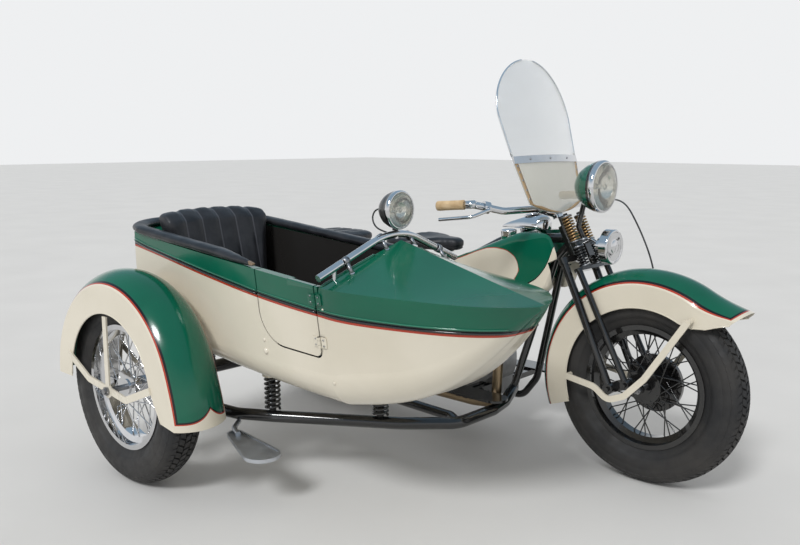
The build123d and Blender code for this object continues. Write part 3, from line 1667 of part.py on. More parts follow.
side_brace_sheet = 6
side_brace_width = 24
outer_brace_y = -track - side_fender_half_width - seat_gap
inner_brace_y = -track + side_fender_half_width + seat_gap
side_brace_points = [(-64, 425), (74, 358), (205, 344), (318, 330), (470, 392)]
brace_parts = []
for brace_face, way in ((outer_brace_y, -1), (inner_brace_y, 1)):
    with BuildPart() as bar:
        with BuildLine(Plane(origin=(0, brace_face, 0), x_dir=(1, 0, 0), z_dir=(0, -1, 0))) as bar_line:
            FilletPolyline(*side_brace_points, radius=40)
        with BuildSketch(Plane(origin=bar_line.line @ 0, x_dir=(0, way, 0), z_dir=bar_line.line % 0)):
            with Locations((side_brace_sheet / 2, 0)):
                Rectangle(side_brace_sheet, side_brace_width)
        sweep(path=bar_line.line)
        with BuildSketch(Plane(origin=(0, brace_face, 0), x_dir=(1, 0, 0), z_dir=(0, way, 0))):
            with Locations((sidecar_wheel_lead, way * -470)):
                Rectangle(side_brace_width, 250)
            with Locations((sidecar_wheel_lead, way * -tyre_radius)):
                Circle(24)
        extrude(amount=side_brace_sheet)
        with BuildSketch(Plane(origin=(0, brace_face, 0), x_dir=(1, 0, 0), z_dir=(0, way, 0))):
            with Locations((sidecar_wheel_lead, way * -tyre_radius)):
                Circle(axle_radius + pin_clearance)
        extrude(amount=2 * side_brace_sheet, both=True, mode=Mode.SUBTRACT)
    brace_parts.append(bar.part)
with BuildPart() as side_brace:
    add(brace_parts)
hand_over(side_brace, "sidecar_fender_brace")

side_axle = axle(
    sidecar_axle_point,
    outer_brace_y - side_brace_sheet - axle_nut_thickness - 6,
    inner_brace_y + side_brace_sheet + 90,
    outer_brace_y - side_brace_sheet - axle_nut_thickness,
    outer_brace_y - side_brace_sheet - axle_nut_thickness,
)
hand_over(side_axle, "sidecar_axle")

# Chassis: an axle tube across, a main tube swept diagonally to the front lug, an inner rail and an
# upper strut, all lying against the frame's lugs
axle_tube_radius = 24
main_tube_radius = 21
inner_rail_radius = 17
strut_radius = 15
boss_y = inner_brace_y + side_brace_sheet + seat_gap


def lug_points(name, *steps):
    face = lug_faces[name]
    return [face.origin + face.z_dir * step for step in steps]


front_face, front_knee = lug_points("front", 0, 60)
rear_face, rear_knee = lug_points("rear", 0, 70)
upper_face, upper_knee = lug_points("upper", 0, 80)
chassis_runs = [
    tube(
        [
            (sidecar_wheel_lead, boss_y, tyre_radius),
            (sidecar_wheel_lead, rear_knee.Y - 60, tyre_radius),
            rear_knee,
            rear_face,
        ],
        [80, 40],
        axle_tube_radius,
    ),
    tube(
        [
            (sidecar_wheel_lead, -1010, tyre_radius),
            (300, -1000, 245),
            (443, -951, 230),
            (560, -885, 230),
            (770, -750, 230),
            (940, -640, 230),
            (1050, -470, 214),
            (front_knee.X + 14, front_knee.Y - 90, 206),
            front_knee,
            front_face,
        ],
        [50, 100, 200, 400, 200, 120, 100, 40],
        main_tube_radius,
    ),
    tube(
        [
            (sidecar_wheel_lead, -455, tyre_radius),
            (310, -452, 240),
            (1000, -452, 224),
            (1046, -470, 215),
        ],
        [60, 30],
        inner_rail_radius,
    ),
    tube(
        [upper_face, upper_knee, (450, -452, 238)],
        60,
        strut_radius,
    ),
]
with BuildPart() as chassis:
    add(chassis_runs)
    with BuildSketch(Plane(origin=(0, boss_y, 0), x_dir=(1, 0, 0), z_dir=(0, 1, 0))):
        with Locations((sidecar_wheel_lead, -tyre_radius)):
            Circle(axle_radius + pin_clearance)
    extrude(amount=100, mode=Mode.SUBTRACT)
hand_over(chassis, "sidecar_chassis")

# Body springs stand between the chassis and the pads under the floor
body_spring_radius = 30
body_spring_wire = 5
spring_stands = [tyre_radius + axle_tube_radius, tyre_radius + axle_tube_radius, 251, 251]
with BuildPart() as body_springs:
    for (x, across, pad_low, pad_high), stand_z in zip(spring_pads, spring_stands):
        low = stand_z + seat_gap
        high = pad_low - seat_gap
        turns = round((high - low) / 14)
        pitch = (high - low) / turns
        place = Vector(x, sidecar_y + across, low)
        with BuildSketch(Plane(origin=place, x_dir=(1, 0, 0), z_dir=(0, -1, 0))):
            with Locations((8, (high - low) / 2)):
                Rectangle(16, high - low)
            with Locations(*[(body_spring_radius / 2 - 2, (k + 0.5) * pitch) for k in range(turns)]):
                Rectangle(body_spring_radius - 4, 2)
            coil_middle = body_spring_radius - body_spring_wire
            with Locations(*[(coil_middle, (k + 0.5) * pitch) for k in range(turns)]):
                Circle(body_spring_wire)
        revolve(axis=Axis(place, (0, 0, 1)))
hand_over(body_springs, "sidecar_springs")

# Step plate: a teardrop casting with a raised rim, on an arm under the main tube
step_z = 176
step_floor = 8
step_rim_height = 4
step_rim_width = 7
step_arm_radius = 9
# columns: x, y, radius of the teardrop's narrow and wide end
step_ends = [(505, -1005, 28), (722, -1062, 60)]
step_arm = tube(
    [
        (530, -1012, step_z + 14),
        (470, -985, step_z + 16),
        (443, -944, 230.5 - main_tube_radius - step_arm_radius - seat_gap),
    ],
    24,
    step_arm_radius,
)
with BuildPart() as step_plate:
    with BuildSketch(Plane.XY.offset(step_z)):
        for x, y, radius in step_ends:
            with Locations((x, y)):
                Circle(radius)
        make_hull()
    extrude(amount=step_floor + step_rim_height)
    with BuildSketch(Plane.XY.offset(step_z + step_floor)):
        for x, y, radius in step_ends:
            with Locations((x, y)):
                Circle(radius - step_rim_width)
        make_hull()
    extrude(amount=step_rim_height, mode=Mode.SUBTRACT)
    add(step_arm)
hand_over(step_plate, "sidecar_step")
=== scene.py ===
import math

import bmesh
import bpy
from mathutils import Matrix, Vector
from mathutils.bvhtree import BVHTree


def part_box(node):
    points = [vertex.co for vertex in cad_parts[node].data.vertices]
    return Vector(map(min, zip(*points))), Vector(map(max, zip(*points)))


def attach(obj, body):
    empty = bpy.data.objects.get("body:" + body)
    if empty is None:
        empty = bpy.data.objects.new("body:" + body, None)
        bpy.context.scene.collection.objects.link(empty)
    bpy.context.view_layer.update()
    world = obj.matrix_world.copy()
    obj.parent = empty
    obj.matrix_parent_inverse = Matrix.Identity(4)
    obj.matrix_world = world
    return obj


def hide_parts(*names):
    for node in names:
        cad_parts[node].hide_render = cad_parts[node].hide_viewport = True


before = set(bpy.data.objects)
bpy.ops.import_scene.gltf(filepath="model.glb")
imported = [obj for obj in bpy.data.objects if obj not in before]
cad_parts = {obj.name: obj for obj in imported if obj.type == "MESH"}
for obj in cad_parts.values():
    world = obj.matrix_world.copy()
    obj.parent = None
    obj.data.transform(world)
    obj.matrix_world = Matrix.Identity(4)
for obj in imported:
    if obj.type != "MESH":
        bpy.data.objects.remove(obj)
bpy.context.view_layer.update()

# Everything below is measured from the rear wheel's ground point, as the CAD is drawn, in millimetres
origin = {"x": 725.2, "y": -436.6}


def at(x, y, z):
    return Vector(((x - origin["x"]) / 1000, (y - origin["y"]) / 1000, z / 1000))


hubs = {"front": (1511, 0, 340), "rear": (0, 0, 340), "sidecar": (205, -1200, 340)}
hullMiddle = -797  # the sidecar body's middle line
besideHull = -1250  # rays at its right side start here
rake = math.radians(27)
steerForward = Vector((math.cos(rake), 0, math.sin(rake)))
steerUp = Vector((-math.sin(rake), 0, math.cos(rake)))


def onFork(forward, left, up):  # a place in the steering frame
    p = Vector((1600, 0, 0)) + steerForward * forward + steerUp * up
    return at(p.x, left, p.z)


def addObject(name, data):
    obj = bpy.data.objects.new(name, data)
    bpy.context.scene.collection.objects.link(obj)
    return obj


cameraSet = {"x": 2777.28, "y": -2636.33, "z": 1173.55, "azimuth": 42.73, "down": 8.96, "lens": 37.69}
camData = bpy.data.cameras.new("camera")
camera = addObject("camera", camData)
camData.sensor_width = 36
camData.lens = cameraSet["lens"]
camData.clip_end = 60
camera.location = at(cameraSet["x"], cameraSet["y"], cameraSet["z"])
camera.rotation_euler = (math.radians(90 - cameraSet["down"]), 0, math.radians(cameraSet["azimuth"]))
bpy.context.scene.camera = camera
bpy.context.scene.view_settings.view_transform = "Standard"
print("camera is set")


# Materials are small node trees, written with these helpers
def newMaterial(name):
    material = bpy.data.materials.new(name)
    material.use_nodes = True
    tree = material.node_tree
    shader = next(n for n in tree.nodes if n.type == "BSDF_PRINCIPLED")
    return material, tree, shader


def addNode(tree, kind, **values):
    node = tree.nodes.new(kind)
    for key, value in values.items():
        if hasattr(node, key):
            setattr(node, key, value)
        else:
            node.inputs[key.replace("_", " ")].default_value = value
    return node


def setInputs(node, **values):  # an underscore stands for a space in the socket's name
    for key, value in values.items():
        node.inputs[key.replace("_", " ")].default_value = value


def link(tree, a, b):
    tree.links.new(a, b)


def objectPlace(tree):
    return addNode(tree, "ShaderNodeTexCoord").outputs["Object"]


def noise(tree, scale, detail=3.0):
    node = addNode(tree, "ShaderNodeTexNoise", Scale=scale, Detail=detail)
    link(tree, objectPlace(tree), node.inputs["Vector"])
    return node.outputs["Fac"]


def ramp(tree, source, stops):
    node = addNode(tree, "ShaderNodeValToRGB")
    elements = node.color_ramp.elements
    while len(elements) < len(stops):
        elements.new(0.5)
    for element, (spot, colour) in zip(elements, stops):
        element.position = spot
        element.color = (*colour, 1) if len(colour) == 3 else colour
    link(tree, source, node.inputs["Fac"])
    return node.outputs["Color"]


def calc(tree, operation, a, b=None):
    node = addNode(tree, "ShaderNodeMath", operation=operation)
    for slot, value in enumerate((a, b)):
        if value is None:
            continue
        if hasattr(value, "links"):
            link(tree, value, node.inputs[slot])
        else:
            node.inputs[slot].default_value = value
    return node.outputs[0]


def minus(tree, a, b):
    return calc(tree, "SUBTRACT", a, b)


def times(tree, a, b):
    return calc(tree, "MULTIPLY", a, b)


def mixColour(tree, factor, a, b):
    node = addNode(tree, "ShaderNodeMix", data_type="RGBA")
    for slot, value in ((0, factor), (6, a), (7, b)):
        if hasattr(value, "links"):
            link(tree, value, node.inputs[slot])
        elif slot == 0:
            node.inputs[0].default_value = value
        else:
            node.inputs[slot].default_value = (*value, 1)
    return node.outputs[2]


def bump(tree, shader, height, strength, distance):
    node = addNode(tree, "ShaderNodeBump", Strength=strength, Distance=distance)
    link(tree, height, node.inputs["Height"])
    link(tree, node.outputs["Normal"], shader.inputs["Normal"])


def roughBand(tree, shader, low, high, scale):
    spread = addNode(tree, "ShaderNodeMapRange")
    link(tree, noise(tree, scale), spread.inputs["Value"])
    setInputs(spread, From_Min=0.3, From_Max=0.7, To_Min=low, To_Max=high)
    link(tree, spread.outputs["Result"], shader.inputs["Roughness"])


colours = {
    "green": (0.003, 0.118, 0.066),
    "greenDeep": (0.002, 0.092, 0.052),
    "cream": (0.72, 0.67, 0.56),
    "creamShade": (0.66, 0.61, 0.50),
    "pinstripe": (0.42, 0.045, 0.02),
    "black": (0.006, 0.006, 0.0065),
    "blackWorn": (0.014, 0.0135, 0.013),
    "leather": (0.012, 0.013, 0.016),
    "leatherWorn": (0.030, 0.031, 0.036),
    "chrome": (0.72, 0.72, 0.73),
    "steel": (0.36, 0.36, 0.37),
    "castMetal": (0.30, 0.30, 0.30),
    "tyre": (0.014, 0.014, 0.015),
    "inwardDark": (0.020, 0.019, 0.018),
}


def metalFinish(name, colour, low, high, grain=40.0, dents=0.02):
    material, tree, shader = newMaterial(name)
    tone = ramp(tree, noise(tree, grain / 4), [(0.35, tuple(v * 0.86 for v in colour)), (0.65, colour)])
    link(tree, tone, shader.inputs["Base Color"])
    setInputs(shader, Metallic=1.0)
    roughBand(tree, shader, low, high, grain)
    bump(tree, shader, noise(tree, grain * 3), dents, 0.001)
    return material


def paintFinish(name, colour, worn, rough=0.16):
    material, tree, shader = newMaterial(name)
    tone = ramp(tree, noise(tree, 3.0, 5.0), [(0.35, worn), (0.6, colour)])
    link(tree, tone, shader.inputs["Base Color"])
    roughBand(tree, shader, rough * 0.8, rough * 1.5, 14.0)
    setInputs(shader, Coat_Weight=0.6, Coat_Roughness=0.05)
    bump(tree, shader, noise(tree, 220.0, 2.0), 0.04, 0.0005)
    return material


looks = {
    "chrome": metalFinish("polishedChrome", colours["chrome"], 0.05, 0.12, 30.0, 0.01),
    "steel": metalFinish("wornSteel", colours["steel"], 0.28, 0.45, 60.0, 0.06),
    "castMetal": metalFinish("castAlloy", colours["castMetal"], 0.42, 0.62, 90.0, 0.25),
    "green": paintFinish("greenEnamel", colours["green"], colours["greenDeep"]),
    "cream": paintFinish("creamEnamel", colours["cream"], colours["creamShade"], 0.22),
    "black": paintFinish("blackEnamel", colours["black"], colours["blackWorn"], 0.12),
}
print("plain finishes are made")


def axisParts(tree):
    node = addNode(tree, "ShaderNodeSeparateXYZ")
    link(tree, objectPlace(tree), node.inputs[0])
    return node.outputs


def drawnLine(tree, x, points):  # height in metres along the body; points are x and z in millimetres of the CAD
    points = [(at(px, 0, 0).x, pz / 1000) for px, pz in points]
    node = addNode(tree, "ShaderNodeFloatCurve")
    curve = node.mapping.curves[0]
    low, high = points[0][0], points[-1][0]
    spread = addNode(tree, "ShaderNodeMapRange")
    link(tree, x, spread.inputs["Value"])
    setInputs(spread, From_Min=low, From_Max=high)
    while len(curve.points) < len(points):
        curve.points.new(0.5, 0.5)
    for point, (place, height) in zip(curve.points, points):
        point.location = ((place - low) / (high - low), height)
        point.handle_type = "AUTO"
    node.mapping.update()
    link(tree, spread.outputs["Result"], node.inputs["Value"])
    return node.outputs["Value"]


hullPaint = {
    # x, height of the pinstripe's upper edge, both in millimetres of the CAD
    "belt": [(-80, 812), (152, 787), (507, 737), (737, 707), (1001, 684), (1300, 672), (1600, 667)],
    "stripe": 0.007,
    "bead": 0.011,
}


hullCentre = at(500, hullMiddle, 690)


def insideOf(tree, centre):  # 1 on faces that look towards the centre of the body
    coord = addNode(tree, "ShaderNodeTexCoord")
    away = addNode(tree, "ShaderNodeVectorMath", operation="SUBTRACT")
    link(tree, coord.outputs["Object"], away.inputs[0])
    away.inputs[1].default_value = centre
    facing = addNode(tree, "ShaderNodeVectorMath", operation="DOT_PRODUCT")
    link(tree, away.outputs[0], facing.inputs[0])
    link(tree, coord.outputs["Normal"], facing.inputs[1])
    return calc(tree, "LESS_THAN", facing.outputs["Value"], -0.004)


enamelSet = {"rough": (0.112, 0.224), "wave": (7.0, 0.04)}
hullEnamel = {"rough": (0.12, 0.24), "wave": (9.0, 0.05)}


def paintGloss(tree, shader, facts):
    roughBand(tree, shader, *facts["rough"], 12.0)
    setInputs(shader, Specular_IOR_Level=0.35, Coat_Weight=0.25, Coat_Roughness=0.05)
    grain, strength = facts["wave"]
    bump(tree, shader, noise(tree, grain, 3.0), strength, 0.002)


def paintTones(tree):
    patchy = noise(tree, 2.6, 5.0)
    cream = ramp(tree, patchy, [(0.35, colours["creamShade"]), (0.6, colours["cream"])])
    green = ramp(tree, patchy, [(0.35, colours["greenDeep"]), (0.6, colours["green"])])
    return cream, green


def layer(tree, tone, depth, start, colour):  # colour wherever the depth is past the start
    return mixColour(tree, calc(tree, "GREATER_THAN", depth, start), tone, colour)


def hullFinish():
    material, tree, shader = newMaterial("hullEnamel")
    x, y, z = axisParts(tree)
    line = drawnLine(tree, x, hullPaint["belt"])
    above = minus(tree, z, line)
    cream, green = paintTones(tree)
    tone = layer(tree, cream, above, -hullPaint["stripe"], colours["pinstripe"])
    tone = layer(tree, tone, above, 0.0, colours["black"])
    tone = layer(tree, tone, above, hullPaint["bead"], green)
    # faces turned towards the middle of the body are painted near-black
    tone = mixColour(tree, insideOf(tree, hullCentre), tone, colours["inwardDark"])
    link(tree, tone, shader.inputs["Base Color"])
    paintGloss(tree, shader, hullEnamel)
    return material


looks["hull"] = hullFinish()


def leatherFinish(name, base, worn, scale=260.0, seams=()):  # seams are places across the body, in metres
    material, tree, shader = newMaterial(name)
    cells = addNode(tree, "ShaderNodeTexVoronoi", Scale=scale)
    link(tree, objectPlace(tree), cells.inputs["Vector"])
    creases = noise(tree, 14.0, 8.0)
    tone = ramp(tree, creases, [(0.40, base), (0.68, worn)])
    link(tree, tone, shader.inputs["Base Color"])
    roughBand(tree, shader, 0.30, 0.52, 9.0)
    setInputs(shader, Specular_IOR_Level=0.4)
    height = calc(tree, "ADD", times(tree, cells.outputs["Distance"], 0.5), creases)
    if seams:  # a raised, slightly worn welt along each seam
        across = axisParts(tree)[1]
        gap = 9.0
        for seam in seams:
            gap = calc(tree, "MINIMUM", gap, calc(tree, "ABSOLUTE", minus(tree, across, seam)))
        welt = ramp(tree, times(tree, gap, 100.0), [(0.12, (1, 1, 1)), (0.42, (0, 0, 0))])
        link(tree, mixColour(tree, welt, tone, tuple(v * 2.4 for v in worn)), shader.inputs["Base Color"])
        height = calc(tree, "ADD", height, times(tree, welt, 1.6))
    bump(tree, shader, height, 0.30, 0.0012)
    return material


looks["leather"] = leatherFinish("blackLeather", colours["leather"], colours["leatherWorn"])


def plainFinish(name, grain, stops, rough, pores):  # rubber and the like: grain and pores are noise settings
    material, tree, shader = newMaterial(name)
    link(tree, ramp(tree, noise(tree, *grain), stops), shader.inputs["Base Color"])
    roughBand(tree, shader, *rough)
    scale, detail, strength, depth = pores
    bump(tree, shader, noise(tree, scale, detail), strength, depth)
    return material


looks["tyre"] = plainFinish("tyreRubber", (7.0, 6.0), [(0.35, colours["tyre"]), (0.72, (0.034, 0.031, 0.028))],
                            (0.55, 0.78, 30.0), (420.0, 2.0, 0.22, 0.0006))
looks["grip"] = plainFinish("ribbedGrip", (40.0, 5.0), [(0.35, (0.52, 0.36, 0.19)), (0.62, (0.66, 0.50, 0.30))],
                            (0.45, 0.6, 30.0), (300.0, 3.0, 0.1, 0.0006))
looks["cable"] = plainFinish("cableSleeve", (90.0, 4.0),
                             [(0.35, (0.012, 0.012, 0.012)), (0.7, (0.03, 0.03, 0.03))],
                             (0.35, 0.5, 60.0), (500.0, 3.0, 0.1, 0.0004))


def makeObject(name, verts, faces, materials, smooth=True, faceLooks=None):
    mesh = bpy.data.meshes.new(name)
    mesh.from_pydata([tuple(v) for v in verts], [], faces)
    mesh.update()
    obj = addObject(name, mesh)
    for material in materials:
        mesh.materials.append(material)
    for index, polygon in enumerate(mesh.polygons):
        polygon.use_smooth = smooth
        if faceLooks:
            polygon.material_index = faceLooks[index]
    return obj


def ringFaces(rings, sides):  # walls between closed rings of points
    return [(j * sides + k, j * sides + (k + 1) % sides, (j + 1) * sides + (k + 1) % sides, (j + 1) * sides + k)
            for j in range(rings - 1) for k in range(sides)]


def endCaps(rings, sides):
    return [tuple(range(sides))[::-1], tuple((rings - 1) * sides + k for k in range(sides))]


def cleanNormals(obj):
    work = bmesh.new()
    work.from_mesh(obj.data)
    bmesh.ops.recalc_face_normals(work, faces=work.faces)
    work.to_mesh(obj.data)
    work.free()
    obj.data.update()


def sharpenBy(obj, angle):
    work = bmesh.new()
    work.from_mesh(obj.data)
    limit = math.radians(angle)
    for edge in work.edges:
        if len(edge.link_faces) == 2 and edge.calc_face_angle(0) > limit:
            edge.smooth = False
    work.to_mesh(obj.data)
    work.free()


def applyModifier(obj, kind, **values):
    modifier = obj.modifiers.new(kind.lower(), kind)
    for key, value in values.items():
        setattr(modifier, key, value)
    graph = bpy.context.evaluated_depsgraph_get()
    mesh = bpy.data.meshes.new_from_object(obj.evaluated_get(graph))
    obj.modifiers.clear()
    old = obj.data
    obj.data = mesh
    bpy.data.meshes.remove(old)
    return obj


def finish(obj, body, nodes=()):
    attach(obj, body)
    if nodes:
        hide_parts(*nodes)
    return obj


def lathe(name, centre, axis, profile, materials, steps=64):
    # profile is a list of (along the axis, radius) in metres; a third value is the look of the next band
    axis = axis.normalized()
    side = axis.orthogonal().normalized()
    across = axis.cross(side)
    verts, faces, picks = [], [], []
    for k in range(steps):
        angle = 2 * math.pi * k / steps
        way = side * math.cos(angle) + across * math.sin(angle)
        for row in profile:
            verts.append(centre + axis * row[0] + way * row[1])
    count = len(profile)
    for k in range(steps):
        after = (k + 1) % steps
        for j in range(count - 1):
            if profile[j][1] < 1e-6 and profile[j + 1][1] < 1e-6:
                continue
            faces.append((k * count + j, k * count + j + 1, after * count + j + 1, after * count + j))
            picks.append(profile[j][2] if len(profile[j]) > 2 else 0)
    obj = makeObject(name, verts, faces, materials, True, picks)
    work = bmesh.new()
    work.from_mesh(obj.data)
    bmesh.ops.remove_doubles(work, verts=work.verts, dist=1e-6)
    bmesh.ops.recalc_face_normals(work, faces=work.faces)
    work.to_mesh(obj.data)
    work.free()
    return obj


def pipe(name, points, radius, material):  # a smooth tube from a bevelled curve
    data = bpy.data.curves.new(name, "CURVE")
    data.dimensions = "3D"
    spline = data.splines.new("NURBS")
    spline.points.add(len(points) - 1)
    for point, place in zip(spline.points, points):
        point.co = (*place, 1)
    spline.order_u = 3
    spline.use_endpoint_u = True
    data.bevel_depth = radius
    data.bevel_resolution = 4
    data.resolution_u = 16
    data.use_fill_caps = True
    data.materials.append(material)
    return addObject(name, data)


def polyTube(name, points, radius, material, sides=12):  # a mesh tube along finely stepped points
    count = len(points)
    verts, faces = [], []
    before = None
    for k, place in enumerate(points):
        ahead = points[min(k + 1, count - 1)]
        behind = points[max(k - 1, 0)]
        way = (ahead - behind).normalized()
        if before is None:
            side = way.orthogonal().normalized()
        else:
            side = (before - way * before.dot(way)).normalized()
        before = side
        up = way.cross(side)
        for j in range(sides):
            angle = 2 * math.pi * j / sides
            verts.append(place + side * math.cos(angle) * radius + up * math.sin(angle) * radius)
    return makeObject(name, verts, ringFaces(count, sides) + endCaps(count, sides), [material])


def joinAll(name, parts):
    work = bmesh.new()
    looksUsed = []
    for part in parts:
        if part.type != "MESH":
            graph = bpy.context.evaluated_depsgraph_get()
            mesh = bpy.data.meshes.new_from_object(part.evaluated_get(graph))
        else:
            mesh = part.data
        remap = {}
        for k, material in enumerate(mesh.materials):
            if material not in looksUsed:
                looksUsed.append(material)
            remap[k] = looksUsed.index(material)
        first = len(work.faces)
        work.from_mesh(mesh)
        work.faces.ensure_lookup_table()
        for face in work.faces[first:]:
            face.material_index = remap.get(face.material_index, 0)
    mesh = bpy.data.meshes.new(name)
    work.to_mesh(mesh)
    work.free()
    for material in looksUsed:
        mesh.materials.append(material)
    obj = addObject(name, mesh)
    for part in parts:
        bpy.data.objects.remove(part)
    return obj


def rotateWay(way, axis, angle):
    return Matrix.Rotation(angle, 3, axis) @ way


def boltHead(place, axis, radius, height, material):
    sides = 6
    axis = axis.normalized()
    side = axis.orthogonal().normalized()
    rings = [(0, 1.0), (height * 0.75, 1.0), (height, 0.82)]
    verts = []
    for along, scale in rings:
        for k in range(sides):
            way = rotateWay(side, axis, 2 * math.pi * k / sides)
            verts.append(place + axis * along + way * radius * scale)
    faces = ringFaces(3, sides) + endCaps(3, sides)[1:]
    return makeObject("bolt", verts, faces, [material], False)


def domeHead(place, axis, radius, material):
    profile = [(0, radius), (radius * 0.35, radius * 0.92), (radius * 0.6, radius * 0.6), (radius * 0.7, 0)]
    return lathe("dome", place, axis, profile, [material], 14)


def skinOf(*nodes):  # the outside of CAD nodes, for rays
    verts, faces = [], []
    for node in nodes:
        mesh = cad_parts[node].data
        first = len(verts)
        verts += [v.co.copy() for v in mesh.vertices]
        faces += [tuple(first + k for k in p.vertices) for p in mesh.polygons]
    return BVHTree.FromPolygons(verts, faces)


def touch(skin, start, way):  # place and normal where a ray meets the skin
    return skin.ray_cast(start, way.normalized())[:2]


def repaint(node, look):
    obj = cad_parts[node]
    if not obj.material_slots:
        obj.data.materials.append(look)
    for spot in obj.material_slots:
        spot.material = look


stageSet = {
    "floor": (0.70, 0.70, 0.69), "reach": 40,
    "sky": (0.86, 0.87, 0.88), "overhead": (0.30, 0.42, 0.54),  # what the eye and the gloss see, low and high
    "light": 0.62, "sun": 1.75, "sunTurn": (48, 4, 12), "sunSpread": 14,
}


def floorFinish():
    material, tree, shader = newMaterial("paleFloor")
    shade = tuple(v * 0.95 for v in stageSet["floor"])
    tone = ramp(tree, noise(tree, 1.6, 6.0), [(0.3, shade), (0.7, stageSet["floor"])])
    link(tree, tone, shader.inputs["Base Color"])
    setInputs(shader, Roughness=0.9)
    bump(tree, shader, noise(tree, 160.0, 2.0), 0.08, 0.001)
    return material


def makeStage():
    reach = stageSet["reach"]
    corners = [(-reach, -reach, 0), (reach, -reach, 0), (reach, reach, 0), (-reach, reach, 0)]
    floor = makeObject("floor", corners, [(0, 1, 2, 3)], [floorFinish()], False)
    world = bpy.data.worlds.new("studio")
    bpy.context.scene.world = world
    world.use_nodes = True
    tree = world.node_tree
    tree.nodes.clear()
    out = tree.nodes.new("ShaderNodeOutputWorld")
    rays = tree.nodes.new("ShaderNodeLightPath")
    seen = calc(tree, "MAXIMUM", rays.outputs["Is Camera Ray"], rays.outputs["Is Transmission Ray"])
    seen = calc(tree, "MAXIMUM", seen, rays.outputs["Is Glossy Ray"])
    sky = tree.nodes.new("ShaderNodeBackground")
    coord = tree.nodes.new("ShaderNodeTexCoord")
    parts = tree.nodes.new("ShaderNodeSeparateXYZ")
    link(tree, coord.outputs["Generated"], parts.inputs[0])
    tone = ramp(tree, parts.outputs[2], [(0.0, stageSet["sky"]), (0.17, stageSet["sky"]),
                                         (0.45, stageSet["overhead"])])
    link(tree, tone, sky.inputs["Color"])
    setInputs(sky, Strength=1.0)
    soft = tree.nodes.new("ShaderNodeBackground")
    setInputs(soft, Color=(1, 1, 1, 1), Strength=stageSet["light"])
    mix = tree.nodes.new("ShaderNodeMixShader")
    link(tree, seen, mix.inputs[0])
    link(tree, soft.outputs[0], mix.inputs[1])
    link(tree, sky.outputs[0], mix.inputs[2])
    link(tree, mix.outputs[0], out.inputs["Surface"])
    sun = bpy.data.lights.new("keyLight", "SUN")
    sun.energy = stageSet["sun"]
    sun.angle = math.radians(stageSet["sunSpread"])
    lamp = addObject("keyLight", sun)
    lamp.rotation_euler = [math.radians(turn) for turn in stageSet["sunTurn"]]


makeStage()
print("floor and light are set")


# Fenders: green over the tread, cream on the flanks, a red line and a painted black shadow line (where the
# crown steps in) between them
fenderLineAndShadow = {"bead": -0.0085, "line": -0.0035}  # metres from the cream; the bead entry is the painted black shadow line, the line entry the red pinstripe
fenderPaint = {
    "front": {"wheel": hubs["front"], "half": 81.2, "creamFrom": 78.0, "tip": 43.5, "tipRise": 0.0},
    "side": {"wheel": hubs["sidecar"], "half": 97, "creamFrom": 93.0, "tip": -5.0, "tipRise": 5.0},
    "rear": {"wheel": hubs["rear"], "half": 84, "creamFrom": 80.0, "tip": -40.0, "tipRise": 0.0},
}


def fenderFinish(name, facts):
    material, tree, shader = newMaterial(name)
    x, y, z = axisParts(tree)
    hubPlace = at(*facts["wheel"])
    cream, green = paintTones(tree)
    offset = calc(tree, "ABSOLUTE", minus(tree, y, hubPlace.y))
    over = minus(tree, offset, facts["creamFrom"] / 1000)
    forward = minus(tree, x, hubPlace.x)
    upward = minus(tree, z, hubPlace.z)
    angle = times(tree, calc(tree, "ARCTAN2", upward, forward), 57.2958)
    # the front lip's cream band rises to a cusp where its two scallops meet
    across = calc(tree, "DIVIDE", minus(tree, y, hubPlace.y), facts["half"] / 1000)
    cusp = calc(tree, "ABSOLUTE", minus(tree, across, 0.2))
    rise = times(tree, calc(tree, "POWER", minus(tree, 1.0, cusp), 3.0), facts["tipRise"])
    lip = minus(tree, calc(tree, "ADD", rise, facts["tip"]), angle)
    lip = times(tree, lip, 0.0068)  # degrees to metres along the rim
    inFront = calc(tree, "GREATER_THAN", forward, -0.02)
    lip = minus(tree, lip, times(tree, minus(tree, 1.0, inFront), 9.0))
    depth = calc(tree, "MAXIMUM", over, lip)
    # painted shadow: a black line where the green crown steps in over the red line
    tone = layer(tree, green, depth, fenderLineAndShadow["bead"], colours["black"])
    tone = layer(tree, tone, depth, fenderLineAndShadow["line"], colours["pinstripe"])
    tone = layer(tree, tone, depth, 0.0, cream)
    link(tree, tone, shader.inputs["Base Color"])
    paintGloss(tree, shader, enamelSet)
    return material


for name in fenderPaint:
    looks[name + "Fender"] = fenderFinish(name + "FenderEnamel", fenderPaint[name])

tankPaint = {
    # teardrop panel seen from the side: x and z in millimetres of the CAD
    "upper": [(655, 690), (740, 718), (859, 762), (895, 772), (952, 775), (998, 763), (1028, 735), (1036, 708)],
    "lower": [(655, 684), (740, 668), (850, 648), (900, 638), (950, 633), (990, 643), (1022, 676), (1036, 702)],
    "edge": [(900, 620), (1000, 634), (1080, 664), (1130, 706), (1160, 760), (1185, 850)],
}


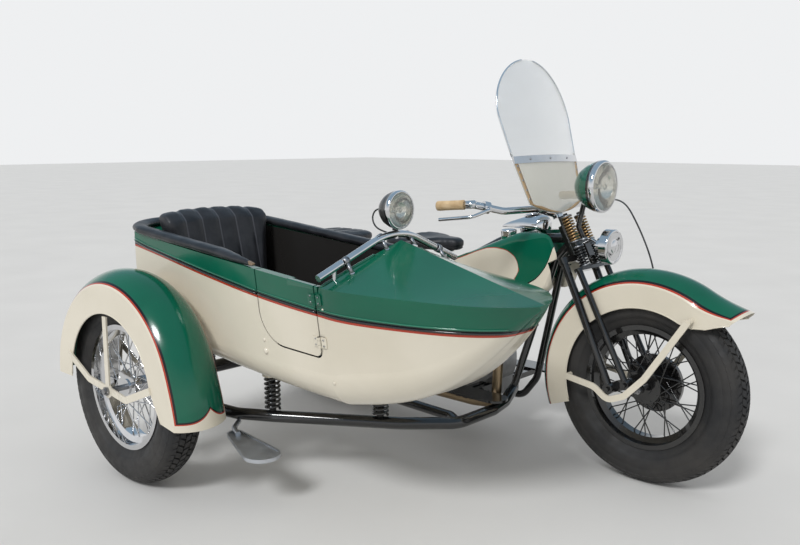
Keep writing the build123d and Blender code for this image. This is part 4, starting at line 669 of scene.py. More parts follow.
def tankFinish():
    material, tree, shader = newMaterial("tankEnamel")
    x, y, z = axisParts(tree)
    cream, green = paintTones(tree)
    top = drawnLine(tree, x, tankPaint["upper"])
    foot = drawnLine(tree, x, tankPaint["lower"])
    within = calc(tree, "MINIMUM", minus(tree, top, z), minus(tree, z, foot))
    within = calc(tree, "MINIMUM", within, minus(tree, at(1035, 0, 0).x, x))
    outer = calc(tree, "GREATER_THAN", calc(tree, "ABSOLUTE", minus(tree, y, at(0, 0, 0).y)), 0.055)
    within = minus(tree, within, times(tree, minus(tree, 1.0, outer), 5.0))
    edge = drawnLine(tree, x, tankPaint["edge"])
    below = minus(tree, edge, z)
    below = times(tree, below, calc(tree, "GREATER_THAN", x, at(900, 0, 0).x))
    tone = layer(tree, green, within, -0.003, colours["pinstripe"])
    tone = layer(tree, tone, within, 0.0, cream)
    tone = layer(tree, tone, below, 0.0005, colours["black"])
    tone = layer(tree, tone, below, 0.006, cream)
    link(tree, tone, shader.inputs["Base Color"])
    paintGloss(tree, shader, enamelSet)
    return material


looks["tank"] = tankFinish()


def glassFinish(name, colour, rough, weight, alpha=1.0, spread=0.3):
    material, tree, shader = newMaterial(name)
    tone = ramp(tree, noise(tree, 6.0, 4.0), [(0.35, tuple(v * 0.97 for v in colour)), (0.65, colour)])
    link(tree, tone, shader.inputs["Base Color"])
    setInputs(shader, Transmission_Weight=weight, IOR=1.45, Alpha=alpha)
    roughBand(tree, shader, rough * (1 - spread), rough * (1 + spread), 9.0)
    return material


looks["clear"] = glassFinish("clearSheet", (0.95, 0.97, 0.97), 0.015, 1.0, 0.55)
looks["haze"] = glassFinish("hazySheet", (0.66, 0.65, 0.57), 0.2, 0.12, 0.52, 0.05)
looks["lens"] = glassFinish("lampLens", (0.94, 0.94, 0.90), 0.08, 0.85)
looks["red"] = glassFinish("redLens", (0.42, 0.01, 0.01), 0.10, 0.3)
looks["bead"] = metalFinish("paleEdgeBead", (0.80, 0.82, 0.84), 0.12, 0.25, 40.0, 0.01)
looks["mirror"] = metalFinish("lampReflector", (0.80, 0.78, 0.72), 0.12, 0.22, 18.0, 0.02)
# the green bead moulding: its own green, painted paler than the hull green as a highlight
looks["greenBeadPaintedHighlight"] = paintFinish("greenBeadPaintedHighlight", (0.02, 0.17, 0.10), (0.012, 0.12, 0.07), 0.12)
looks["stepAlloy"] = metalFinish("stepAlloy", (0.62, 0.64, 0.67), 0.38, 0.55, 40.0, 0.10)
looks["brass"] = metalFinish("springBrass", (0.42, 0.27, 0.13), 0.25, 0.42, 60.0, 0.05)
looks["heated"] = metalFinish("heatedPipe", (0.36, 0.27, 0.17), 0.25, 0.45, 24.0, 0.04)
looks["satinBlack"] = paintFinish("satinBlack", (0.016, 0.016, 0.017), (0.03, 0.028, 0.026), 0.42)
looks["tan"] = leatherFinish("tanEdge", (0.36, 0.24, 0.12), (0.46, 0.32, 0.18), 180.0)


nodeLooks = {
    "black": ["frame", "oil_tank", "fork_rigid_legs", "fork_spring_legs", "fork_rockers", "sidecar_chassis",
              "footboards", "front_wheel_spokes", "front_brake_drum", "rear_drum_and_sprocket", "side_stand",
              "primary_cover"],
    "castMetal": ["engine", "gearbox"],
    "stepAlloy": ["sidecar_step"],
    "steel": ["rear_axle", "front_axle", "sidecar_axle", "drive_chain", "saddle_post"],
    "chrome": ["instrument_panel", "luggage_rack", "carburettor", "sidecar_grab_rail", "handlebar",
               "handlebar_levers", "windshield_band", "rear_wheel_spokes", "sidecar_wheel_spokes", "horn"],
    "cream": ["front_fender_brace", "sidecar_fender_brace"],
    "heated": ["exhaust"],
    "hull": ["sidecar_hull", "sidecar_door"],
    "frontFender": ["front_fender"],
    "sideFender": ["sidecar_fender"],
    "rearFender": ["rear_fender"],
    "tank": ["fuel_tanks"],
    "red": ["tail_lamp"],
}
for look, nodes in nodeLooks.items():
    for node in nodes:
        repaint(node, looks[look])
print("CAD pieces have their finishes")

# Cords first: both are held at their two ends
cableRoute = {
    "brake": [(1092.27, 332.88, 942.02), (1160, 303, 948), (1232, 258, 952), (1296, 203, 936), (1352, 153, 897),
              (1402, 124, 838), (1440, 117, 764), (1462, 117, 684), (1468, 118, 602), (1458, 118, 522),
              (1444.99, 117.5, 427.99)],
    "wire": [(1007.7, hullMiddle, 968), (979.7, hullMiddle, 968), (962.7, -800, 942), (977.7, -804, 914),
             (1009.7, -806, 901), (1049.5, -806, 895.5)],
    "brakeRadius": 0.003, "wireRadius": 0.0025,
}
brakeCable = pipe("brake_cable", [at(*p) for p in cableRoute["brake"]], cableRoute["brakeRadius"],
                  looks["cable"])
finish(brakeCable, "steering", ["front_brake_cable"])
lampWire = pipe("lamp_wire", [at(*p) for p in cableRoute["wire"]], cableRoute["wireRadius"],
                looks["cable"])
finish(lampWire, "outfit", ["spotlight_wire"])
print("cords are laid")

tyreShape = {
    "profile": [(43, 217), (47, 224), (50.5, 229), (51.5, 231), (54, 236), (58, 245), (59.5, 246), (62, 256),
                (63.6, 268), (63, 280), (62.2, 283), (62.8, 285), (61, 298), (58.5, 310), (56, 317), (50, 324),
                (30, 330.5), (0, 333)],
    "pitches": 74,
    # middle and width of each row of blocks
    "rows": [(-57, 13), (-41, 17), (-21, 19), (0, 19), (21, 19), (41, 17), (57, 13)],
}


def treadRadius(y):  # top of the blocks, by distance from the tyre's middle in millimetres
    return 339.6 - 19.0 * (abs(y) / 54) ** 2.2


def makeTyre(name, wheel, body):
    centre = at(*wheel)
    half = [(y / 1000, r / 1000) for y, r in tyreShape["profile"]]
    profile = half + [(-y, r) for y, r in reversed(half[:-1])]
    profile = [(y, r - (0.0004 if r > 0.3 else 0)) for y, r in profile]
    carcass = lathe("carcass", centre, Vector((0, 1, 0)), profile, [looks["tyre"]], 120)
    verts, faces = [], []
    count = tyreShape["pitches"]
    for index, (middle, width) in enumerate(tyreShape["rows"]):
        shift = 0.5 if index % 2 else 0.0
        skew = 0.16 if index % 2 else -0.16
        for k in range(count):
            first = len(verts)
            low, high = k + shift + 0.06, k + shift + 0.90
            for level in (0, 1):
                shrink = 0.0 if level == 0 else 0.055
                for side, place in ((-1, low), (1, low), (1, high), (-1, high)):
                    y = middle + side * width / 2 * (1.0 if level == 0 else 0.93)
                    turn = place + (shrink if place == low else -shrink) + skew * side
                    angle = 2 * math.pi * turn / count
                    reach = treadRadius(y) if level else treadRadius(y) - 9
                    if abs(middle) > 50 and abs(y) > 58:
                        reach = 309 if level else 303
                        y = math.copysign(60.2, y) if level else math.copysign(57.5, y)
                    verts.append(centre + Vector((reach * math.cos(angle), y, reach * math.sin(angle))) / 1000)
            faces.append((first + 4, first + 5, first + 6, first + 7))
            for j in range(4):
                n = (j + 1) % 4
                faces.append((first + j, first + n, first + 4 + n, first + 4 + j))
    blocks = makeObject("blocks", verts, faces, [looks["tyre"]], False)
    cleanNormals(blocks)
    tyre = joinAll(name + "_tread_tyre", [carcass, blocks])
    return finish(tyre, body, [name + "_tyre"])


for name, place in hubs.items():
    makeTyre(name, place, name + "_wheel")
print("tyres are made")

coilSets = {
    "fork": [(802, 878, 7, "black"), (894, 994, 9, "brass")],  # low end, high end, turns and look
    "forkPlace": 45, "forkRadius": 0.0172, "forkWire": 0.0036,
    "seat": [(0, 0.0085), (0, 0.021), (0.005, 0.021), (0.005, 0.0085)],
    # x, y, low end and high end of each spring under the body
    "body": [(205, -692, 364.5, 426), (205, -902, 364.5, 426), (560, -885, 251.5, 376),
             (880, -680, 251.5, 366)],
    "bodyRadius": 0.0245, "bodyWire": 0.0048, "core": 0.012, "pitch": 17,
}
straightUp = Vector((0, 0, 1))


def coilLine(foot, way, length, turns, radius, steps=14):
    side = way.orthogonal().normalized()
    points = []
    total = int(turns * steps)
    for k in range(total + 1):
        share = k / total
        points.append(foot + way * length * share + rotateWay(side, way, 2 * math.pi * turns * share) * radius)
    return points


def makeForkCoils():
    c = coilSets
    parts = []
    for low, high, turns, look in c["fork"]:
        for side in (1, -1):
            foot = onFork(c["forkPlace"], side * c["forkPlace"], low + 2)
            line = coilLine(foot, steerUp, (high - low - 4) / 1000, turns, c["forkRadius"])
            parts.append(polyTube("coil", line, c["forkWire"], looks[look], 8))
            for up in (low, high - 5):
                seat = onFork(c["forkPlace"], side * c["forkPlace"], up)
                parts.append(lathe("seat", seat, steerUp, c["seat"], [looks["steel"]], 28))
    finish(joinAll("fork_coils", parts), "steering", ["fork_springs"])


def makeBodyCoils():
    c = coilSets
    parts = []
    for x, y, low, high in c["body"]:
        turns = max(3, round((high - low) / c["pitch"]))
        line = coilLine(at(x, y, low + 5), straightUp, (high - low - 10) / 1000, turns, c["bodyRadius"])
        parts.append(polyTube("coil", line, c["bodyWire"], looks["black"], 8))
        tall = (high - low) / 1000
        core = [(0, 0), (0, c["core"]), (tall, c["core"]), (tall, 0)]
        parts.append(lathe("core", at(x, y, low), straightUp, core, [looks["satinBlack"]], 20))
    finish(joinAll("body_coils", parts), "outfit", ["sidecar_springs"])


makeForkCoils()
makeBodyCoils()
print("springs are wound")

# Soft goods: remeshed, blown up a little as cloth, capped, then given their seams
cushionSet = {"voxel": 0.0075, "pressure": 4.0, "frames": 12, "quality": 3}


def inflate(obj, cap, soften=6):
    applyModifier(obj, "REMESH", mode="VOXEL", voxel_size=cushionSet["voxel"])
    applyModifier(obj, "SMOOTH", factor=0.6, iterations=soften)
    rest = [v.co.copy() for v in obj.data.vertices]
    cloth = obj.modifiers.new("cloth", "CLOTH")
    cloth.settings.use_pressure = True
    cloth.settings.quality = cushionSet["quality"]
    cloth.settings.uniform_pressure_force = cushionSet["pressure"]
    cloth.settings.effector_weights.gravity = 0
    for step in range(1, cushionSet["frames"] + 1):
        bpy.context.scene.frame_set(step)
    graph = bpy.context.evaluated_depsgraph_get()
    blown = bpy.data.meshes.new_from_object(obj.evaluated_get(graph))
    obj.modifiers.clear()
    for vertex, was, now in zip(obj.data.vertices, rest, blown.vertices):
        move = now.co - was
        vertex.co = was + (move.normalized() * cap if move.length > cap else move)
    bpy.data.meshes.remove(blown)
    bpy.context.scene.frame_set(1)
    applyModifier(obj, "SUBSURF", levels=1, render_levels=1)
    for polygon in obj.data.polygons:
        polygon.use_smooth = True
    return obj


def groove(obj, distanceTo, depth, width, wanted):
    for vertex in obj.data.vertices:
        place, normal = vertex.co, vertex.normal
        if wanted(place, normal):
            gap = distanceTo(place)
            vertex.co = place - normal * depth * math.exp(-((gap / width) ** 2))
    obj.data.update()


def chaikin(points, rounds=3):
    for step in range(rounds):
        made = []
        for k, a in enumerate(points):
            b = points[(k + 1) % len(points)]
            made += [a * 0.75 + b * 0.25, a * 0.25 + b * 0.75]
        points = made
    return points


def softPrism(name, outline, low, high, edge, material):
    points = chaikin([Vector(p) for p in outline])
    middle = sum(points, Vector((0, 0))) / len(points)
    verts = []
    rings = [(low, edge), (low + edge * 0.5, edge * 0.15), (high - edge * 0.7, 0.0), (high, edge * 1.3)]
    for z, inset in rings:
        for p in points:
            q = p + (middle - p).normalized() * inset
            verts.append(at(q.x, q.y, z))
    faces = ringFaces(len(rings), len(points)) + endCaps(len(rings), len(points))
    obj = makeObject(name, verts, faces, [material])
    cleanNormals(obj)
    return obj


def boxOutline(x0, x1, y0, y1, corner=26):
    c = corner
    return [(x0 + c, y0), (x1 - c, y0), (x1, y0 + c), (x1, y1 - c), (x1 - c, y1), (x0 + c, y1), (x0, y1 - c),
            (x0, y0 + c)]


seatSet = {
    "x": (242, 634), "y": (-997, -597), "z": (502, 600), "corner": 40, "edge": 16,
    "crown": 0.008, "crownX": 0.2, "crownY": 0.205, "frontDrop": 0.006,
    "welts": (-117, 0, 117), "weltDepth": 0.006, "weltWidth": 0.012,
}


def makeSeatCushion():
    x0, x1 = seatSet["x"]
    y0, y1 = seatSet["y"]
    outline = boxOutline(x0, x1, y0, y1, seatSet["corner"])
    pad = softPrism("sidecar_cushion", outline, *seatSet["z"], seatSet["edge"], looks["leather"])
    inflate(pad, 0.006)
    middle = at((x0 + x1) / 2, (y0 + y1) / 2, 0)
    for vertex in pad.data.vertices:  # crowned in the middle, a little lower at its front edge
        if vertex.co.z > 0.56:
            u = (vertex.co.x - middle.x) / seatSet["crownX"]
            v = (vertex.co.y - middle.y) / seatSet["crownY"]
            rise = seatSet["crown"] * max(0, 1 - u * u) * max(0, 1 - v * v)
            vertex.co.z += rise - seatSet["frontDrop"] * max(0, u) ** 2
    lines = [at(0, hullMiddle + w, 0).y for w in seatSet["welts"]]
    groove(pad, lambda p: min(abs(p.y - line) for line in lines), seatSet["weltDepth"], seatSet["weltWidth"],
           lambda p, n: n.z > 0.4)
    applyModifier(pad, "SMOOTH", factor=0.5, iterations=2)
    finish(pad, "outfit", ["sidecar_seat_cushion"])


makeSeatCushion()

backSet = {
    "section": [(230, 505), (231, 606), (156, 900), (126, 925), (74, 926), (64, 904), (68, 882), (87, 860),
                (90, 838), (120, 614), (208, 600), (208, 505)],
    # share of the half width, and size of the section there
    "slices": [(-1.0, 0.72), (-0.97, 0.90), (-0.9, 0.98), (-0.75, 1), (-0.5, 1), (-0.25, 1), (0, 1), (0.25, 1),
               (0.5, 1), (0.75, 1), (0.9, 0.98), (0.97, 0.90), (1.0, 0.72)],
    "half": 222, "footHalf": 165, "bend": 22, "drop": 14,
    "seams": (-148, -74, 0, 74, 148), "seamDepth": 0.005, "seamWidth": 0.013,
}


def makeSeatBack():
    verts = []
    section, slices = backSet["section"], backSet["slices"]
    half, footHalf = backSet["half"], backSet["footHalf"]
    for t, size in slices:
        for x, z in section:
            high = max(0, (z - 640) / 290)
            midX = 165 - 62 * high
            x2 = midX + (x - midX) * size + backSet["bend"] * t * t * min(1, high * 1.3) - 6 * high
            z2 = z - backSet["drop"] * abs(t) ** 3 * high
            x2 = max(60, min(232, x2))
            wide = half if z > 640 else footHalf + (half - footHalf) * max(0, (z - 590) / 50)
            verts.append(at(x2, hullMiddle + t * wide, z2))
    faces = ringFaces(len(slices), len(section)) + endCaps(len(slices), len(section))
    pad = makeObject("sidecar_back_pad", verts, faces, [looks["leather"]])
    cleanNormals(pad)
    inflate(pad, 0.005, 8)
    lines = [at(0, hullMiddle + w, 0).y for w in backSet["seams"]]
    groove(pad, lambda p: min(abs(p.y - line) for line in lines), backSet["seamDepth"], backSet["seamWidth"],
           lambda p, n: n.x > -0.5 and p.z > 0.60)
    applyModifier(pad, "SMOOTH", factor=0.5, iterations=3)
    seamed = leatherFinish("seamedLeather", colours["leather"], colours["leatherWorn"], 260.0, lines)
    pad.data.materials[0] = seamed
    finish(pad, "outfit", ["sidecar_seat_back"])


makeSeatBack()


def rimHeight(x):
    return 855 - 0.0818 * (x + 72)


coamingSet = {
    "doorEnd": 736, "farEnd": 1018, "line": 277, "corner": 176, "rear": -60, "width": 29, "height": 14,
    "sides": 16, "tanFrom": 708,
}


def coamingPath():
    c = coamingSet
    mid = c["rear"] + c["corner"]
    path = []
    for k in range(32):
        path.append((c["doorEnd"] + (mid - c["doorEnd"]) * k / 32, -c["line"]))
    for k in range(19):
        a = math.radians(270 - 90 * k / 18)
        path.append((mid + c["corner"] * math.cos(a), -c["line"] + c["corner"] + c["corner"] * math.sin(a)))
    for k in range(1, 10):
        path.append((c["rear"], (-c["line"] + c["corner"]) * (1 - 2 * k / 10)))
    for k in range(19):
        a = math.radians(180 - 90 * k / 18)
        path.append((mid + c["corner"] * math.cos(a), c["line"] - c["corner"] + c["corner"] * math.sin(a)))
    for k in range(1, 41):
        path.append((mid + (c["farEnd"] - mid) * k / 40, c["line"]))
    return path


def makeCoaming():
    c = coamingSet
    path = coamingPath()
    verts = []
    sides = c["sides"]
    for k, (x, y) in enumerate(path):
        ahead = path[min(k + 1, len(path) - 1)]
        behind = path[max(k - 1, 0)]
        way = Vector((ahead[0] - behind[0], ahead[1] - behind[1], 0)).normalized()
        out = Vector((way.y, -way.x, 0))
        if out.dot(Vector((x - 500, y, 0))) < 0:
            out = -out
        end = c["doorEnd"] if y < 0 else c["farEnd"]
        thin = max(0.0, min(1.0, (end - x) / (170 if y < 0 else 90)))
        wide = c["width"] * (0.42 + 0.58 * thin)
        tall = c["height"] * (0.45 + 0.55 * thin)
        shift = 6 * (1 - thin)
        for j in range(sides):
            a = 2 * math.pi * j / sides
            u, v = math.cos(a), math.sin(a)
            u = math.copysign(abs(u) ** 0.75, u)
            v = math.copysign(abs(v) ** 0.8, v) * (1.0 if v > 0 else 0.9)
            p = Vector((x, y, 0)) + out * (u * wide + shift)
            verts.append(at(p.x, hullMiddle + p.y, rimHeight(x) + 1.2 + tall + v * tall))
    faces = ringFaces(len(path), sides) + endCaps(len(path), sides)
    pad = makeObject("rim_bolster", verts, faces, [coamingFinish()])
    cleanNormals(pad)
    inflate(pad, 0.0025, 4)
    floorZ = lambda p: (rimHeight(p.x * 1000 + origin["x"]) + 0.5) / 1000
    for vertex in pad.data.vertices:  # it lies flat on the rim
        vertex.co.z = max(vertex.co.z, floorZ(vertex.co))
    finish(pad, "outfit", ["sidecar_coaming_pad"])


def coamingFinish():
    material, tree, shader = newMaterial("coamingLeather")
    x, y, z = axisParts(tree)
    creases = noise(tree, 16.0, 8.0)
    worn = minus(tree, x, at(coamingSet["tanFrom"], 0, 0).x)
    worn = calc(tree, "ADD", worn, times(tree, minus(tree, creases, 0.5), 0.08))
    right = calc(tree, "LESS_THAN", y, at(0, -900, 0).y)
    base = ramp(tree, creases, [(0.4, colours["leather"]), (0.7, colours["leatherWorn"])])
    tanTone = ramp(tree, creases, [(0.4, (0.20, 0.14, 0.09)), (0.7, (0.30, 0.22, 0.14))])
    tone = mixColour(tree, times(tree, calc(tree, "GREATER_THAN", worn, 0.0), right), base, tanTone)
    link(tree, tone, shader.inputs["Base Color"])
    roughBand(tree, shader, 0.26, 0.48, 9.0)
    setInputs(shader, Specular_IOR_Level=0.4)
    bump(tree, shader, creases, 0.35, 0.0015)
    return material


makeCoaming()

saddleSet = {
    "outline": [(684, 30), (640, 44), (590, 62), (520, 132), (462, 158), (400, 156), (376, 120), (380, 0),
                (376, -120), (400, -156), (462, -158), (520, -132), (590, -62), (640, -44), (684, -30)],
    "z": (737, 780), "edge": 9, "dish": 0.014, "rearRise": 0.004, "piping": 0.748,
    "pillion": (-160, 120, -100, 100), "pillionZ": (726, 764), "pillionEdge": 12,
    "pillionSeams": (-90, -20, 50),
}


def makeSaddles():
    s = saddleSet
    seat = softPrism("rider_saddle", s["outline"], *s["z"], s["edge"], looks["leather"])
    inflate(seat, 0.004)
    for vertex in seat.data.vertices:  # dished for the rider, turned up at the back
        x = vertex.co.x * 1000 + origin["x"]
        y = vertex.co.y * 1000 + origin["y"]
        if vertex.co.z > 0.755:
            dish = math.exp(-(((x - 470) / 75) ** 2) - (y / 120) ** 2)
            vertex.co.z -= s["dish"] * dish
            vertex.co.z += s["rearRise"] * max(0, min(1, (420 - x) / 40))
    groove(seat, lambda p: abs(p.z - s["piping"]), 0.003, 0.003, lambda p, n: abs(n.z) < 0.6)
    finish(seat, "outfit", ["saddle"])
    outline = boxOutline(*s["pillion"], 40)
    pad = softPrism("rear_pad", outline, *s["pillionZ"], s["pillionEdge"], looks["leather"])
    inflate(pad, 0.005)
    lines = [at(x, 0, 0).x for x in s["pillionSeams"]]
    groove(pad, lambda p: min(abs(p.x - line) for line in lines), 0.005, 0.006, lambda p, n: n.z > 0.4)
    for vertex in pad.data.vertices:
        vertex.co.z = min(max(vertex.co.z, 0.7246), 0.7699)
    finish(pad, "outfit", ["pillion_pad"])


makeSaddles()
print("soft goods are made")

forward = Vector((1, 0, 0))
# Turned profiles: along the axis, radius and, where it changes, the look of the next band
lampSet = {
    "centre": (1318, 0, 1014),
    "shell": [(-118, 0), (-116, 12), (-106, 34), (-88, 58), (-62, 77), (-38, 87), (-30, 89, 1), (-27, 90.5, 1),
              (-20, 90.5, 2), (-19, 92, 2), (-8, 92, 2), (-3, 89, 2), (-1, 84, 2), (-4, 80, 3), (-24, 62, 3),
              (-38, 34, 3), (-42, 8, 3), (-42, 0)],
    "glass": [(-5, 83), (-2, 84), (2, 72), (6, 52), (9, 26), (10, 0)],
    "bulb": [(-40, 6), (-26, 7), (-18, 11), (-10, 7), (-8, 0)],
    "clamp": [(0, 0), (0, 18), (8, 18), (12, 12), (12, 0)],
    "postRadius": 0.0095,
}
spotSet = {
    "centre": (1082, hullMiddle, 968),
    "shell": [(-74, 0), (-74, 8), (-68, 22), (-58, 37), (-42, 49), (-24, 56), (-12, 57.5), (-11, 59, 1),
              (-3, 59, 1), (2, 57, 1), (3, 53, 1), (-2, 50, 2), (-18, 38, 2), (-28, 18, 2), (-30, 0)],
    "glass": [(0, 52.5), (2.5, 53), (4, 36), (5.5, 14), (6, 0)],
    "bulb": [(-29, 5), (-18, 6), (-12, 9), (-6, 6), (-4, 0)],
    "plug": [(0, 0), (0, 7), (4, 9), (10, 9), (16, 7)],
    "stalk": [(0, 0), (0, 9), (6, 9), (7, 7), (22, 7)],
    "forkRadius": 0.007,
}


def scaled(rows):
    return [(row[0] / 1000, row[1] / 1000) + tuple(row[2:]) for row in rows]


def makeHeadLamp():
    s = lampSet
    place = at(*s["centre"])
    skins = [looks["green"], looks["black"], looks["chrome"], looks["mirror"]]
    shell = lathe("shell", place, forward, scaled(s["shell"]), skins, 72)
    glass = lathe("glass", place, forward, scaled(s["glass"]), [looks["lens"]], 64)
    bulb = lathe("bulb", place, forward, scaled(s["bulb"]), [looks["lens"]], 24)
    line = [onFork(50, 0, 892.4), onFork(50, 0, 930), onFork(50, 0, 948), at(1236, 0, 962), at(1268, 0, 984)]
    post = polyTube("post", line, s["postRadius"], looks["black"], 16)
    clamp = lathe("clamp", line[0], steerUp, scaled(s["clamp"]), [looks["steel"]], 28)
    lamp = joinAll("head_lamp_whole", [shell, glass, bulb, post, clamp])
    finish(lamp, "steering", ["head_lamp"])


def makeSpotlight():
    s = spotSet
    place = at(*s["centre"])
    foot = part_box("sidecar_spotlight")[0].z
    skins = [looks["satinBlack"], looks["chrome"], looks["mirror"]]
    shell = lathe("shell", place, forward, scaled(s["shell"]), skins, 64)
    glass = lathe("glass", place, forward, scaled(s["glass"]), [looks["lens"]], 56)
    bulb = lathe("bulb", place, forward, scaled(s["bulb"]), [looks["lens"]], 24)
    plug = lathe("plug", at(1009.4, hullMiddle, 968), forward, scaled(s["plug"]), [looks["satinBlack"]], 24)
    footPlace = Vector((at(1059, 0, 0).x, place.y, foot))
    stalk = lathe("stalk", footPlace, straightUp, scaled(s["stalk"]), [looks["satinBlack"]], 24)
    line = [at(1059, hullMiddle, foot * 1000 + 12), at(1056, hullMiddle, 918), at(1052, hullMiddle, 930)]
    fork = polyTube("fork", line, s["forkRadius"], looks["satinBlack"], 14)
    whole = joinAll("spot_lamp_whole", [shell, glass, bulb, plug, stalk, fork])
    finish(whole, "outfit", ["sidecar_spotlight"])


makeHeadLamp()
makeSpotlight()

hornProfile = [(0, 61.5), (3, 61.5), (6, 58), (5, 53), (2, 49), (4.5, 44), (2, 39), (4.5, 34), (2, 29), (5, 24),
               (9, 14), (10, 0)]
hornFace = lathe("horn_face", at(1356, 0, 806), forward, scaled(hornProfile), [looks["chrome"]], 60)
finish(hornFace, "steering")

tailProfile = [(0, 24), (6, 29.5), (30, 29.5), (32, 30, 1), (37, 29, 1), (38, 25, 2), (45, 19, 2), (49, 8, 2),
               (50, 0)]
tailWay = Vector((math.cos(math.radians(153)), 0, math.sin(math.radians(153))))
tailLamp = lathe("tail_lamp_lens", at(0, 0, 340) + tailWay * 0.3843, tailWay, scaled(tailProfile),
                 [looks["black"], looks["chrome"], looks["red"]], 40)
finish(tailLamp, "outfit", ["tail_lamp"])
print("lamps and horn are made")

shield = {
    "foot": (1150, 0, 897), "lean": 16.8, "bend": 1300, "sheet": 5, "widest": (228, 385), "top": 594,
    "band": (206, 222), "corner": (172, 62), "low": 20, "strip": 15, "columns": 14, "edgeWire": 0.0034,
    "seam": 209, "clearFoot": 235,  # top of the hazy sheet, and where the clear sheet stands free of the band
    "stripRivets": (80, 112, 148, 178, 200), "bandRivets": (-120, 0, 120),
}
shieldLean = math.radians(shield["lean"])
shieldOut = Vector((math.cos(shieldLean), 0, math.sin(shieldLean)))
shieldUp = Vector((-math.sin(shieldLean), 0, math.cos(shieldLean)))


def shieldHalf(height):
    wide, widestAt = shield["widest"]
    bandWide, bandAt = shield["band"]
    cornerWide, cornerAt = shield["corner"]
    if height >= widestAt:
        return wide * math.sqrt(max(0, 1 - ((height - widestAt) / (shield["top"] - widestAt)) ** 2))
    if height >= bandAt:
        return bandWide + (wide - bandWide) * (height - bandAt) / (widestAt - bandAt)
    if height >= cornerAt:
        return cornerWide + (bandWide - cornerWide) * (height - cornerAt) / (bandAt - cornerAt)
    depth = cornerAt - shield["low"]
    arc = (cornerWide ** 2 + depth ** 2) / (2 * depth)
    return math.sqrt(max(0, arc ** 2 - (shield["low"] + arc - height) ** 2))


def onShield(across, height, proud=0.0):
    reach = shield["bend"] + proud
    foot = Vector(shield["foot"]) - shieldOut * shield["bend"]
    sine = across / shield["bend"]
    p = foot + (shieldOut * math.sqrt(1 - sine * sine) + Vector((0, sine, 0))) * reach + shieldUp * height
    return at(p.x, p.y, p.z)


def shieldSheet(name, heights, material):
    columns = shield["columns"]
    verts, faces = [], []
    for proud in (0.0, -shield["sheet"]):
        for height in heights:
            half = max(shieldHalf(height), 0.5)
            for k in range(columns + 1):
                verts.append(onShield(half * (2 * k / columns - 1), height, proud))
    rows, wide = len(heights), columns + 1
    back = rows * wide
    for j in range(rows - 1):
        for k in range(columns):
            a = j * wide + k
            faces.append((a, a + 1, a + wide + 1, a + wide))
            faces.append((back + a, back + a + wide, back + a + wide + 1, back + a + 1))
        for a in (j * wide, j * wide + columns):
            faces.append((a, a + wide, back + a + wide, back + a))
    for a in list(range(columns)) + [(rows - 1) * wide + k for k in range(columns)]:
        faces.append((a, a + 1, back + a + 1, back + a))
    sheet = makeObject(name, verts, faces, [material])
    cleanNormals(sheet)
    sharpenBy(sheet, 40)
    return sheet


def makeShield():
    low, seam, foot, top = shield["low"], shield["seam"], shield["clearFoot"], shield["top"]
    wideAt, cornerAt = shield["widest"][1], shield["corner"][1]
    topRows = [foot + (wideAt - foot) * k / 8 for k in range(9)]
    topRows += [wideAt + (top - wideAt) * math.sin(math.radians(90 * k / 26)) for k in range(1, 27)]
    lowRows = [low + (cornerAt - low) * (1 - math.cos(math.radians(90 * k / 10))) for k in range(11)]
    lowRows += [cornerAt + (seam - cornerAt) * k / 8 for k in range(1, 9)]
    upper = shieldSheet("shield_clear", [seam + 0.5] + topRows[1:], looks["clear"])
    lower = shieldSheet("shield_hazy", lowRows, looks["haze"])
    finish(upper, "steering", ["windshield"])
    finish(lower, "steering", ["windshield"])
    rim = []
    heights = [foot + 1 + (wideAt - foot - 1) * k / 10 for k in range(10)]
    heights += [wideAt + (top - wideAt - 3) * math.sin(math.radians(90 * k / 30)) for k in range(31)]
    for side in (1, -1):
        line = [onShield(side * max(0, shieldHalf(h) - 1.5), h, -2.5) for h in heights]
        rim.append(polyTube("rim", line, shield["edgeWire"], looks["bead"], 8))
    finish(joinAll("shield_edge_bead", rim), "steering")
    strips = []
    heights = [h for h in lowRows if h > 22]
    for side in (1, -1):
        verts = []
        for h in heights:
            half = shieldHalf(h)
            inner = max(0, half - shield["strip"] - (18 if h < 55 else 0))
            for across, proud in ((half, 0.4), (half, 1.6), (inner, 1.6), (inner, 0.4)):
                verts.append(onShield(side * across, h, proud))
        strip = makeObject("strip", verts, ringFaces(len(heights), 4), [looks["tan"]])
        cleanNormals(strip)
        strips.append(strip)
        for h in shield["stripRivets"]:
            half = shieldHalf(h) - shield["strip"] / 2
            strips.append(domeHead(onShield(side * half, h, 1.4), shieldOut, 0.0042, looks["steel"]))
    for across in shield["bandRivets"]:
        strips.append(domeHead(onShield(across, 222, 3.2), shieldOut, 0.0045, looks["steel"]))
    finish(joinAll("shield_strips_and_rivets", strips), "steering")


makeShield()
print("windshield is made")

gripSet = {"front": (1022, 372, 958), "end": (894, 400, 948), "ribs": 22, "radius": 16.2, "sleeve": 0.0142}


